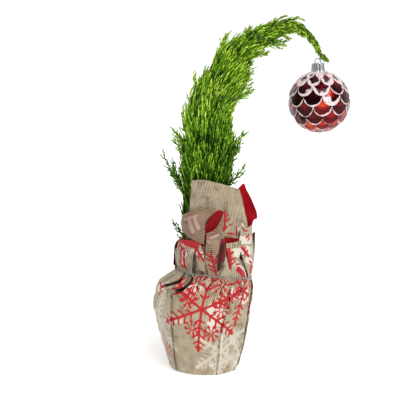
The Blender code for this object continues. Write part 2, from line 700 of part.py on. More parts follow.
def make_bauble(plastic, metal):
    """Hollow ball with a short neck, its metal cap, and the loop that hangs on the leader."""
    tilt = math.radians(BALL_TILT)
    axis = Vector((-math.sin(tilt), 0.0, math.cos(tilt)))
    centre = BALL_CENTRE
    loop_centre = centre + axis * LOOP_HEIGHT

    neck_foot = math.sqrt(BALL_RADIUS ** 2 - BALL_NECK_RADIUS ** 2)
    neck_top = neck_foot + BALL_NECK_HEIGHT
    bore = BALL_NECK_RADIUS - BALL_WALL
    hollow = BALL_RADIUS - BALL_WALL
    belt = [math.radians(a) for a in BALL_BELT]
    outer = [(BALL_RADIUS * math.cos(a), BALL_RADIUS * math.sin(a)) for a in belt]
    outer += [(BALL_NECK_RADIUS, neck_foot), (BALL_NECK_RADIUS, neck_top)]
    inner = [(bore, neck_top), (bore, math.sqrt(hollow ** 2 - bore ** 2))]
    inner += [(hollow * math.cos(a), hollow * math.sin(a)) for a in belt[::-2]]
    bm = bmesh.new()
    join_rings(bm, [tilted_ring(centre, axis, r, h) for r, h in outer + inner])
    add_object("bauble", bm, plastic)

    cap_foot = neck_foot + GAP
    cap_top = cap_foot + CAP_HEIGHT
    cup = CAP_RADIUS - CAP_WALL
    profile = ((cup, cap_foot + CAP_RECESS), (cup, cap_foot), (CAP_RADIUS, cap_foot),
               (CAP_TOP_RADIUS, cap_top))
    bm = bmesh.new()
    join_rings(bm, [tilted_ring(centre, axis, r, h) for r, h in profile])
    cap = add_object("bauble_cap", bm, metal)

    across = Vector((axis.z, 0.0, -axis.x))
    wire = []
    for i in range(LOOP_POINTS):
        a = 2 * math.pi * i / LOOP_POINTS
        wire.append(loop_centre + (across * math.cos(a) + axis * math.sin(a)) * LOOP_RADIUS)
    collection = bpy.data.collections.new("loop")
    bpy.context.scene.collection.children.link(collection)
    loop = add_object("loop", tube("loop", wire, LOOP_WIRE, 6, True), metal)
    bpy.context.scene.collection.objects.unlink(loop)
    collection.objects.link(loop)
    fuse(cap, collection)
    hold = math.radians(TIE_ON_LOOP)
    return loop_centre + (across * math.cos(hold) + axis * math.sin(hold)) * LOOP_RADIUS


def make_tie_wire(material, hold):
    """Link of binding wire round the leader and through the bauble's loop at hold."""
    twig = on_trunk(TIE_PLACE, 0, 0)
    rise = (twig - hold).normalized()
    side = Vector((0.0, 1.0, 0.0))
    link = []
    for middle, start in ((twig, 0), (hold + rise * TIE_SLACK, 180)):
        for i in range(TIE_POINTS):
            a = math.radians(start + 180 * i / (TIE_POINTS - 1))
            link.append(middle + (side * math.cos(a) + rise * math.sin(a)) * TIE_ROUND)
    add_object("tie_wire", tube("tie_wire", link, TIE_WIRE, 6, True), material)


def main():
    for old in list(bpy.data.objects):
        bpy.data.objects.remove(old)
    plastic = make_material("pot_plastic", (0.02, 0.02, 0.022), 0.55)
    compost = make_material("compost", (0.05, 0.03, 0.018), 0.95)
    bark = make_material("bark", (0.16, 0.09, 0.05), 0.85)
    green = make_material("cypress_green", (0.22, 0.42, 0.03), 0.6)
    paper = make_material("kraft_paper", (0.56, 0.46, 0.33), 0.75)
    string = make_material("silver_string", (0.62, 0.60, 0.57), 0.5)
    red = make_material("bauble_red", (0.45, 0.01, 0.02), 0.18)
    silver = make_material("bauble_silver", (0.75, 0.75, 0.77), 0.25, 1.0)
    wire = make_material("coated_wire", (0.03, 0.09, 0.05), 0.5)
    make_pot(plastic)
    make_soil(compost)
    make_trunk(bark)
    make_foliage(green)
    make_left_limb(bark, green)
    make_wrap(paper)
    make_flaps(paper)
    make_string(string)
    hold = make_bauble(red, silver)
    make_tie_wire(wire, hold)


main()
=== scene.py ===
"""Looks of a small potted cypress whose leader is trained over in an arch with a bauble at its tip.

The file follows the plant as it is put together: the camera and studio, the pot and compost, the
sheet of paper round the pot and its folded collar, the string and bow, the wood, the foliage with
its loose sprays and binding wires, and the bauble with its cap. A name that ends in _MM is in
millimetres, and places along the trunk are in millimetres too; all else is in metres.
"""

import math
import random

import bpy
import numpy as np
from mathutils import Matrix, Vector, noise


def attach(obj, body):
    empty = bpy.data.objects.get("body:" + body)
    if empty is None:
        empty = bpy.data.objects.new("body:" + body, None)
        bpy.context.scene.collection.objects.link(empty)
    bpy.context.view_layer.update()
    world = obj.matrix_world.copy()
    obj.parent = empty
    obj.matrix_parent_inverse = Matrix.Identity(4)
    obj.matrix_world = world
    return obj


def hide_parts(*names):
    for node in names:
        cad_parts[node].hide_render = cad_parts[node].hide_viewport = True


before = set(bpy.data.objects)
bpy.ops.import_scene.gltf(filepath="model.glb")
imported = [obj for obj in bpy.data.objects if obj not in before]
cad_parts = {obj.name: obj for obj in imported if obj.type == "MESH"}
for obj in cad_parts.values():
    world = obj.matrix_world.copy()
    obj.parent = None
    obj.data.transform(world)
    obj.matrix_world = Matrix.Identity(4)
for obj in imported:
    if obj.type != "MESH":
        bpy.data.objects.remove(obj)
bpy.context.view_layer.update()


# Camera. It stands 1.35 m in front of the plant, a little above it, and looks down by 8 degrees
# on a long portrait lens, as the photograph does.
MM = 0.001
CAMERA_PLACE = Vector((3.25, -1350.0, 400.0)) * MM
CAMERA_AIM_HEIGHT = 212.0 * MM
CAMERA_LENS_MM = 90.73
CAMERA_SENSOR_MM = 36.0

pitch = math.atan2(CAMERA_PLACE.z - CAMERA_AIM_HEIGHT, -CAMERA_PLACE.y)
bpy.ops.object.camera_add(location=CAMERA_PLACE, rotation=(math.pi / 2 - pitch, 0.0, 0.0))
camera = bpy.context.object
camera.name = "camera"
camera.data.lens = CAMERA_LENS_MM
camera.data.sensor_width = CAMERA_SENSOR_MM
bpy.context.scene.camera = camera


# Studio. A white floor under an even white room, with a wide soft key light from the right and the
# front, so that the shadow falls faintly to the left. Only for what the gloss mirrors is the room
# darker behind the camera, as in a photographer's studio, which makes the bauble's front deep red.
FLOOR_SIZE = 14.0
FLOOR_COLOURS = ("#FBFAF8", "#FFFFFF")
FLOOR_GLOW = 0.3
ROOM_COLOUR = "#FFFFFF"
ROOM_SEEN = 1.05
ROOM_BRIGHTNESS = 0.62
ROOM_MIRRORED_FRONT = 0.04
ROOM_MIRRORED_EDGE = 0.45
# Lamps: way that each shines from, width in degrees, power
SUNS = (("key_light", (0.5, -1.15, 1.05), 40.0, 2.25), ("fill_light", (-1.0, -1.2, 0.5), 90.0, 0.25))


def colour(code):
    """Linear colour of an sRGB hex value."""
    parts = [int(code[i:i + 2], 16) / 255 for i in (1, 3, 5)]
    return (*[p / 12.92 if p <= 0.04045 else ((p + 0.055) / 1.055) ** 2.4 for p in parts], 1.0)


def add_node(tree, kind, settings):
    """Adds a shader node. A setting is an input, by name or number, set or linked, or a property."""
    node = tree.nodes.new("ShaderNode" + kind)
    for key, value in settings.items():
        if isinstance(key, str) and key not in node.inputs:
            setattr(node, key, value)
        elif isinstance(value, bpy.types.NodeSocket):
            tree.links.new(value, node.inputs[key])
        else:
            node.inputs[key].default_value = value
    return node


def new_material(name, settings):
    """Material with one Principled shader, its constant values set on the shader's own sockets."""
    material = bpy.data.materials.new(name)
    material.use_nodes = True
    shader = material.node_tree.nodes["Principled BSDF"]
    for key, value in settings.items():
        shader.inputs[key].default_value = value
    return material, material.node_tree, shader


def grained_material(name, settings, colours, kind, texture, bump=0.0, stretch=None):
    """Two colours mottled by a texture in the piece's own space, which can bump the face as well."""
    material, tree, shader = new_material(name, settings)
    place = add_node(tree, "TexCoord", {}).outputs["Object"]
    if stretch:
        place = add_node(tree, "Mapping", {"Vector": place, "Scale": stretch}).outputs[0]
    grain = add_node(tree, kind, {"Vector": place, **texture}).outputs[0]
    tone = add_node(tree, "Mix", {"data_type": "RGBA", 0: grain, 6: colour(colours[0]),
                                  7: colour(colours[1])})
    tree.links.new(tone.outputs[2], shader.inputs["Base Color"])
    if bump:
        relief = add_node(tree, "Bump", {"Height": grain, "Distance": bump})
        tree.links.new(relief.outputs["Normal"], shader.inputs["Normal"])
    return material


def make_floor():
    bpy.ops.mesh.primitive_plane_add(size=FLOOR_SIZE)
    floor = bpy.context.object
    floor.name = "floor"
    glow = {"Roughness": 0.9, "Emission Strength": FLOOR_GLOW, "Emission Color": colour(FLOOR_COLOURS[0])}
    white = grained_material("white_floor", glow, FLOOR_COLOURS, "TexNoise", {"Scale": 30.0})
    floor.data.materials.append(white)


def light_room():
    world = bpy.data.worlds.new("room")
    bpy.context.scene.world = world
    world.use_nodes = True
    tree = world.node_tree
    shader = tree.nodes["Background"]
    way = add_node(tree, "TexCoord", {})
    parts = add_node(tree, "SeparateXYZ", {"Vector": way.outputs["Generated"]})
    front = add_node(tree, "MapRange", {"interpolation_type": "SMOOTHSTEP", "Value": parts.outputs["Y"],
                                       "From Min": -ROOM_MIRRORED_EDGE, "From Max": ROOM_MIRRORED_EDGE,
                                       "To Min": ROOM_MIRRORED_FRONT})
    ray = add_node(tree, "LightPath", {})
    mirrored = add_node(tree, "Mix", {0: ray.outputs["Is Glossy Ray"], 2: ROOM_BRIGHTNESS,
                                      3: front.outputs["Result"]})
    bright = add_node(tree, "Mix", {0: ray.outputs["Is Camera Ray"], 2: mirrored.outputs[0],
                                    3: ROOM_SEEN})
    shader.inputs["Color"].default_value = colour(ROOM_COLOUR)
    tree.links.new(bright.outputs[0], shader.inputs["Strength"])
    for name, way, angle, power in SUNS:
        turn = (-Vector(way)).to_track_quat("-Z", "Y").to_euler()
        bpy.ops.object.light_add(type="SUN", location=way, rotation=turn)
        lamp = bpy.context.object
        lamp.name = name
        lamp.data.angle = math.radians(angle)
        lamp.data.energy = power
    bpy.context.scene.view_settings.view_transform = "Standard"


make_floor()
light_room()


# Pot and compost. A black polypropylene nursery pot, blow-moulded with a matte finish, and dark
# peat compost inside it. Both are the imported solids, with their own materials.
POT_COLOURS = ("#17171A", "#26262A")
COMPOST_COLOURS = ("#4A3423", "#1C120B")

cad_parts["pot"].data.materials[0] = grained_material(
    "pot_polypropylene", {"Roughness": 0.5, "IOR": 1.49}, POT_COLOURS, "TexNoise",
    {"Scale": 900.0}, 0.0001)
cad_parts["soil"].data.materials[0] = grained_material(
    "peat_compost", {"Roughness": 0.95, "Specular IOR Level": 0.2}, COMPOST_COLOURS, "TexVoronoi",
    {"Scale": 260.0}, 0.0015)


# Paper wrap. One sheet of ribbed kraft paper, red on its back and printed with snowflakes, is
# folded up round the pot: its panels lap over each other in flat pleats, and it is gathered at the
# neck by the string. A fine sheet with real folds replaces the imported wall.
WRAP_ROWS = ((0, -44.0, 0, 42.0, 0), (4, -46.0, 4, 43.5, 0), (30, -54.0, 30, 50.5, 0),
             (60, -62.0, 60, 55.5, 0), (88, -68.0, 88, 59.5, 0), (105, -67.5, 103, 61.5, 1),
             (116, -63.0, 111, 61.0, 2), (125, -51.0, 116, 60.0, 4), (133, -38.2, 121, 58.2, 4.8),
             (141, -38.8, 130, 58.8, 5), (157, -39.9, 148, 59.9, 6))
WRAP_ROWS_FINE = 150
# Its floor and rounded foot: share of the way up the table above, mm in from the wall, mm up
WRAP_FLOOR = ((-0.03, 34.0, 0.5), (-0.015, 7.0, 0.4), (0.0, 2.6, 0.0), (0.004, 1.0, 0.5),
              (0.012, 0.2, 1.4))
WRAP_LIFT_MM = 0.02
# Pleats: angles at PLEAT_ROWS, how far the panel after each stands out, and the turn of its ribs
PLEAT_ROWS = (0, 2.7, 4.4, 6.5, 10)
PLEATS = (((-62, -43, -36, -39, -34), -1.0, 28), ((20, 21.5, 31, 30, 30), 1.0, 90),
          ((64, 63, 61, 60, 58), -0.8, 84), ((95, 97, 98, 98, 98), 1.0, 15),
          ((130, 134, 138, 138, 138), -1.0, 80), ((170, 173, 176, 176, 176), 1.0, 35),
          ((205, 208, 212, 212, 212), -1.0, 60), ((272, 280, 286, 290, 292), 1.0, 8))
PLEAT_STEP_MM = 1.1
PLEAT_LAP = 7.0
PLEAT_LIFT_MM = 0.9
PLEAT_EDGE_MM = 4
LAP_COLUMNS = 6
PANEL_COLUMN_MM = 0.95
WRAP_WALL_MM = 2.6
# Rows of the inner skin: row of the outside that each lies behind, and its gap in mm besides the wall
INNER_ROWS = ((-1, 1.0), (-14, 1.0), (-40, 6.0), (40, 5.0), (8, 2.0))
PANEL_FLATTENING_MM = 2.2
TUCKS = (-74, -55, -43, -20, -9, 6, 17, 38, 48, 71, 84, 109, 124, 150, 163, 188, 199, 222, 236, 249,
         262, 276)
TUCK_DEPTH_MM = 3.2
TUCK_WIDTH = 1.7
WRAP_CREASES_MM = (17.0, 7.0)
# Deep folds that run from the knot over the left shoulder: rows and angles, width and depth in mm
# Each fold is also darkened along its groove with painted shade
DEEP_FOLDS = (
    (((8.0, -47), (7.3, -42), (6.74, -40), (6.5, -43.6), (6.24, -49), (6.04, -54), (5.9, -60)), 1.9, 9.0),
    (((8.0, -34), (7.5, -28.5), (6.88, -24.6), (6.28, -24.8), (5.84, -28.4), (5.6, -36)), 2.2, 10.0),
    (((7.9, -37), (7.44, -32.5), (6.72, -28.5), (6.26, -27.6)), 1.0, 4.0),
    (((8.3, 8), (7.6, 7), (6.8, 3), (6.0, 1)), 1.2, 2.4),
    (((8.3, 24), (7.4, 25), (6.4, 21), (5.5, 20)), 1.2, 2.6),
    (((8.3, 47), (7.4, 46), (6.3, 50), (5.2, 49)), 1.3, 3.4),
    (((7.9, -20), (7.2, -14), (6.2, -10)), 1.2, 2.6))
ROW_MM = 12.0
SHEET_RADIUS_MM = 62.0
SHEET_THICKNESS_MM = 0.3
PAPER_SMOOTH_ANGLE = 50
RIB_PITCH_MM = 2.4
KRAFT_COLOURS = ("#61553E", "#8A7B5D", "#A6977B")
KRAFT_PLACES = (0.45, 0.95, 1.0)
# The red back showing through a flap, mixed with painted shade, multiplies the kraft by this
SHOW_THROUGH_AND_SHADE = "#C3A49B"
# Painted shade deep in folds multiplies the kraft by this colour
FOLD_SHADE = "#5E5144"
PRINT_RED = "#A41014"
# White of the ink, also used for painted sheen and highlight
WHITE_INK_AND_SHEEN = "#D9D3C8"
# Red of the back, from its painted shade to its painted light
BACK_RED = ("#5A0206", "#E81C2C")
# Snowflakes: arms, their length, half width, knob, barbs as place and length in mm, and their slant
FLAKE_LARGE = (6, 56.0, 1.7, 2.7, ((14, 7), (24, 11), (34, 11), (43, 9), (50, 6)), 56)
FLAKE_MIDDLE = (6, 45.0, 1.7, 2.6, ((8, 7), (18, 10), (26, 10), (34, 7)), 52)
FLAKE_SMALL = (8, 11.5, 0.95, 1.15, ((7.2, 3.2),), 46)
SMALL_HOLE_MM = 2.2
# Where they are printed: mm round the sheet, height in mm, turn in degrees
WRAP_FLAKES = (
    (FLAKE_LARGE, ((-0.6, 91.6, -98.5), (196, 70, 8))),
    (FLAKE_MIDDLE, ((57, 111, -103), (128, 84, 14), (262, 92, 40))),
    (FLAKE_SMALL, ((-17.5, 103.5, 10), (21.4, 121, 0), (25.5, 90, 15), (-14.5, 66.2, 5), (11.3, 58.8, 20),
                   (-66, 29.5, 0), (-15.6, 122.5, 0), (158, 104, 0), (168, 38, 0), (236, 40, 0),
                   (232, 106, 0))))
WRAP_WHITE_FLAKES = (
    (FLAKE_LARGE, ((66, 24, 10), (150, 30, 20), (300, 96, 0))),
    (FLAKE_MIDDLE, ((26, 34, 30), (-74, 70, 5), (250, 30, 50))))
# Faint white bloom over the left panel, low on the right and at the back, as strokes
WRAP_BLOOM = ((-92, 20, -88, 100, 14), (-66, 30, -62, 108, 12), (66, 20, 72, 60, 15),
              (40, 16, 44, 34, 6), (160, 30, 190, 60, 14), (250, 40, 262, 90, 12))
# White behind the flakes, as strokes: partly printed white ground, partly a painted highlight on the
# crumpled ridge
WRAP_WHITE_AND_HIGHLIGHT = ((12, 93, 26, 92, 6.5), (16, 84, 24, 84, 7), (12, 72, 20, 75, 6), (10, 64, 14, 66, 4),
              (-24, 116, -10, 118, 5), (38, 112, 52, 104, 6), (60, 100, 72, 112, 7),
              (-70, 112, -60, 116, 5))
# How softly the white fades: rise for each mm away from the shape, and its start
WHITE_FLAKE_EDGE = (0.2, 0.08)
BLOOM_EDGE = (0.06, 0.31)
WRAP_STROKES = ((-70, 112, -55, 118, 1.6), (-66, 104, -60, 116, 1.4), (-74, 118, -60, 110, 1.2))


def mesh_object(name, points, faces, materials, material_index=None, smooth=True):
    """Object made from arrays of points and faces."""
    mesh = bpy.data.meshes.new(name)
    mesh.from_pydata(points.reshape(-1, 3).tolist(), [], [list(face) for face in faces])
    for material in materials:
        mesh.materials.append(material)
    if material_index is not None:
        mesh.polygons.foreach_set("material_index", np.asarray(material_index, dtype=np.int32))
    mesh.polygons.foreach_set("use_smooth", np.full(len(mesh.polygons), smooth))
    mesh.update()
    obj = bpy.data.objects.new(name, mesh)
    bpy.context.scene.collection.objects.link(obj)
    return obj


def select_only(obj):
    bpy.ops.object.select_all(action="DESELECT")
    obj.select_set(True)
    bpy.context.view_layer.objects.active = obj


def grid_faces(rows, columns, closed_rows=False, closed_columns=True, flip=False):
    """Quads of a grid of points, row by row, closed into a ring either way, with either winding."""
    r, c = np.meshgrid(np.arange(rows - (not closed_rows)), np.arange(columns - (not closed_columns)),
                       indexing="ij")
    n = (r + 1) % rows
    d = (c + 1) % columns
    corners = [r * columns + c, r * columns + d, n * columns + d, n * columns + c]
    if flip:
        corners = corners[:1] + corners[:0:-1]
    return np.stack(corners, axis=2).reshape(-1, 4).tolist()


def paper_material():
    """Machine-glazed kraft: fine ribs, mottled pulp, print, painted sheen and shade, all on the sheet."""
    material, tree, shader = new_material("printed_kraft", {"Roughness": 0.42, "Specular IOR Level": 0.3})
    sheet = add_node(tree, "Attribute", {"attribute_name": "sheet"})
    ribs = add_node(tree, "TexWave", {"Vector": sheet.outputs["Vector"], "Distortion": 0.6,
                                      "Detail": 1.0, "Scale": math.pi / 10 / RIB_PITCH_MM})
    pulp = add_node(tree, "TexNoise", {"Vector": sheet.outputs["Vector"], "Scale": 0.9, "Detail": 3.0})
    cloud = add_node(tree, "TexNoise", {"Vector": sheet.outputs["Vector"], "Scale": 0.07})
    mottle = add_node(tree, "Math", {"operation": "MULTIPLY_ADD", 0: pulp.outputs["Fac"], 1: 0.5,
                                     2: cloud.outputs["Fac"]})
    share = add_node(tree, "Math", {"operation": "MULTIPLY_ADD", 0: ribs.outputs["Fac"], 1: 0.34,
                                    2: mottle.outputs[0]})
    tone = add_node(tree, "ValToRGB", {"Fac": share.outputs[0]})
    stops = tone.color_ramp.elements
    stops[0].position = KRAFT_PLACES[0]
    stops[0].color = colour(KRAFT_COLOURS[0])
    for place, code in zip(KRAFT_PLACES[1:], KRAFT_COLOURS[1:]):
        stops.new(place).color = colour(code)
    ragged = add_node(tree, "MapRange", {"Value": pulp.outputs["Fac"], "To Min": -0.5, "To Max": 0.5})
    layer = tone.outputs["Color"]
    # White ink, with painted sheen and highlight on some pieces, then red ink, laid over the kraft
    for name, code, strength in (("white_print_and_sheen", WHITE_INK_AND_SHEEN, 0.66), ("red_print", PRINT_RED, 1.0)):
        field = add_node(tree, "Attribute", {"attribute_name": name})
        edge = add_node(tree, "Math", {"operation": "ADD", 0: field.outputs["Fac"], 1: ragged.outputs[0]})
        cover = add_node(tree, "MapRange", {"Value": edge.outputs[0], "From Min": 0.3, "From Max": -0.3,
                                            "To Max": strength})
        layer = add_node(tree, "Mix", {"data_type": "RGBA", 0: cover.outputs[0], 6: layer,
                                       7: colour(code)}).outputs[2]
    # Multiplied in: the red back showing through mixed with painted shade, then painted fold shade
    for name, code in (("red_show_through_and_shade", SHOW_THROUGH_AND_SHADE), ("painted_fold_shade", FOLD_SHADE)):
        field = add_node(tree, "Attribute", {"attribute_name": name})
        layer = add_node(tree, "Mix", {"data_type": "RGBA", "blend_type": "MULTIPLY",
                                       0: field.outputs["Fac"], 6: layer, 7: colour(code)}).outputs[2]
    tree.links.new(layer, shader.inputs["Base Color"])
    bump = add_node(tree, "Bump", {"Height": share.outputs[0], "Distance": 0.0003, "Strength": 0.8})
    tree.links.new(bump.outputs["Normal"], shader.inputs["Normal"])
    return material


def paper_back_material():
    """The sheet's back, flooded with one red ink, the ribs just showing, with painted light and shade."""
    matt = {"Roughness": 0.6, "Specular IOR Level": 0.12}
    material, tree, shader = new_material("red_paper_back", matt)
    sheet = add_node(tree, "Attribute", {"attribute_name": "sheet"})
    ribs = add_node(tree, "TexWave", {"Vector": sheet.outputs["Vector"],
                                      "Scale": math.pi / 10 / RIB_PITCH_MM})
    pulp = add_node(tree, "TexNoise", {"Vector": sheet.outputs["Vector"], "Scale": 0.5})
    # Painted light: bright where light would shine through one sheet, dark red deep in rolls
    light = add_node(tree, "Attribute", {"attribute_name": "painted_back_light"})
    grain = add_node(tree, "Math", {"operation": "MULTIPLY_ADD", 0: ribs.outputs["Fac"], 1: 0.08,
                                    2: light.outputs["Fac"]})
    share = add_node(tree, "Math", {"operation": "MULTIPLY_ADD", 0: pulp.outputs["Fac"], 1: 0.12,
                                    2: grain.outputs[0]})
    tone = add_node(tree, "Mix", {"data_type": "RGBA", 0: share.outputs[0],
                                  6: colour(BACK_RED[0]), 7: colour(BACK_RED[1])})
    tree.links.new(tone.outputs[2], shader.inputs["Base Color"])
    return material


def stroke_distance(x, y, strokes):
    """Distance in mm to the nearest round-ended stroke, less its half width."""
    best = np.full(x.shape, 99.0)
    for ax, ay, bx, by, half in strokes:
        run = (bx - ax) ** 2 + (by - ay) ** 2
        t = np.clip(((x - ax) * (bx - ax) + (y - ay) * (by - ay)) / max(run, 1e-9), 0, 1)
        away = np.hypot(x - ax - t * (bx - ax), y - ay - t * (by - ay)) - half
        best = np.minimum(best, away)
    return best


def flake_distance(x, y, kind, place):
    """Distance to a snowflake: straight arms with slanted barbs and knobs, small ones with a hole."""
    arms, arm, half, knob, barbs, slant = kind
    cx, cy, turn = place
    away = np.hypot(x - cx, y - cy)
    sector = 2 * math.pi / arms
    angle = np.arctan2(y - cy, x - cx) - math.radians(turn)
    angle = np.abs((angle + sector / 2) % sector - sector / 2)
    strokes = [(0, 0, arm, 0, half), (arm - 3, 0, arm, 0, knob)]
    slant = math.radians(slant)
    for root, length in barbs:
        strokes.append((root, 0, root + length * math.cos(slant), length * math.sin(slant), 0.75 * half))
    distance = stroke_distance(away * np.cos(angle), away * np.sin(angle), strokes)
    return np.maximum(distance, SMALL_HOLE_MM - away) if kind is FLAKE_SMALL else distance


def flakes_distance(x, y, groups):
    """Distance to the nearest of many snowflakes."""
    places = [(kind, place) for kind, spots in groups for place in spots]
    return np.min([flake_distance(x, y, kind, place) for kind, place in places], axis=0)


def crumple(x, z, size, seed):
    """Dents of a creased sheet, with hard edges, about -1 to 1, from its own coordinates in mm."""
    out = np.empty(x.shape)
    for i, (a, b) in enumerate(zip(x.ravel(), z.ravel())):
        spot = Vector((a / size, b / size, seed))
        out.flat[i] = 1.0 - 3.2 * abs(noise.noise(spot)) + 0.6 * noise.noise(spot * 2.3)
    return out


def paper_piece(name, nodes, grid, sheet, red, white, rib_turn, back_rows=0, swap=False, shows_and_shade=0.0,
                light=0.2, fold=0.0):
    """Sheet from a grid of points, with its print and ribs, and with its thickness if it is open.

    With back_rows the grid goes all the way round, and its last rows are the sheet's red back.
    """
    rows, columns, _ = grid.shape
    faces = grid_faces(rows, columns, closed_columns=back_rows > 0)
    index = np.repeat(np.arange(rows - 1) >= rows - 1 - back_rows, len(faces) // (rows - 1)).astype(int)
    if back_rows:
        faces += [list(range(columns))[::-1], [(rows - 1) * columns + k for k in range(columns)]]
        index = np.concatenate([index, [0, 1]])
    fronts, backs = (paper_back, paper_front) if swap else (paper_front, paper_back)
    obj = mesh_object(name, grid, faces, [fronts, backs], index)
    mesh = obj.data
    turn = np.radians(np.broadcast_to(rib_turn, (rows, columns))).ravel()
    flat = sheet.reshape(-1, 2)
    ribs = np.stack([flat[:, 0] * np.cos(turn) + flat[:, 1] * np.sin(turn),
                     flat[:, 1] * np.cos(turn) - flat[:, 0] * np.sin(turn), 0 * turn], axis=1)
    mesh.attributes.new("sheet", "FLOAT_VECTOR", "POINT").data.foreach_set("vector", ribs.ravel())
    for key, field in (("red_print", red), ("white_print_and_sheen", white), ("red_show_through_and_shade", shows_and_shade),
                       ("painted_back_light", light), ("painted_fold_shade", fold)):
        values = np.broadcast_to(field, (rows, columns)).ravel()
        mesh.attributes.new(key, "FLOAT", "POINT").data.foreach_set("value", values)
    select_only(obj)
    if not back_rows:
        wall = obj.modifiers.new("paper", "SOLIDIFY")
        wall.thickness = SHEET_THICKNESS_MM * MM
        wall.offset = -1.0
        wall.material_offset = 1
        bpy.ops.object.modifier_apply(modifier=wall.name)
    bpy.ops.object.shade_smooth_by_angle(angle=math.radians(PAPER_SMOOTH_ANGLE))
    if nodes:
        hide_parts(*nodes)
    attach(obj, "root")
    return obj


def spread(values, shares):
    """Smooth curve through evenly spaced values, as a Catmull-Rom spline read at shares of its length."""
    values = np.asarray(values, dtype=float)
    padded = np.concatenate([2 * values[:1] - values[1:2], values, 2 * values[-1:] - values[-2:-1]])
    span = np.clip(shares, 0, 1) * (len(values) - 1)
    i = np.minimum(span.astype(int), len(values) - 2)
    t = (span - i).reshape((-1,) + (1,) * (values.ndim - 1))
    p0, p1, p2, p3 = padded[i], padded[i + 1], padded[i + 2], padded[i + 3]
    return 0.5 * (2 * p1 + (p2 - p0) * t + (2 * p0 - 5 * p1 + 4 * p2 - p3) * t ** 2
                  + (3 * p1 - p0 - 3 * p2 + p3) * t ** 3)


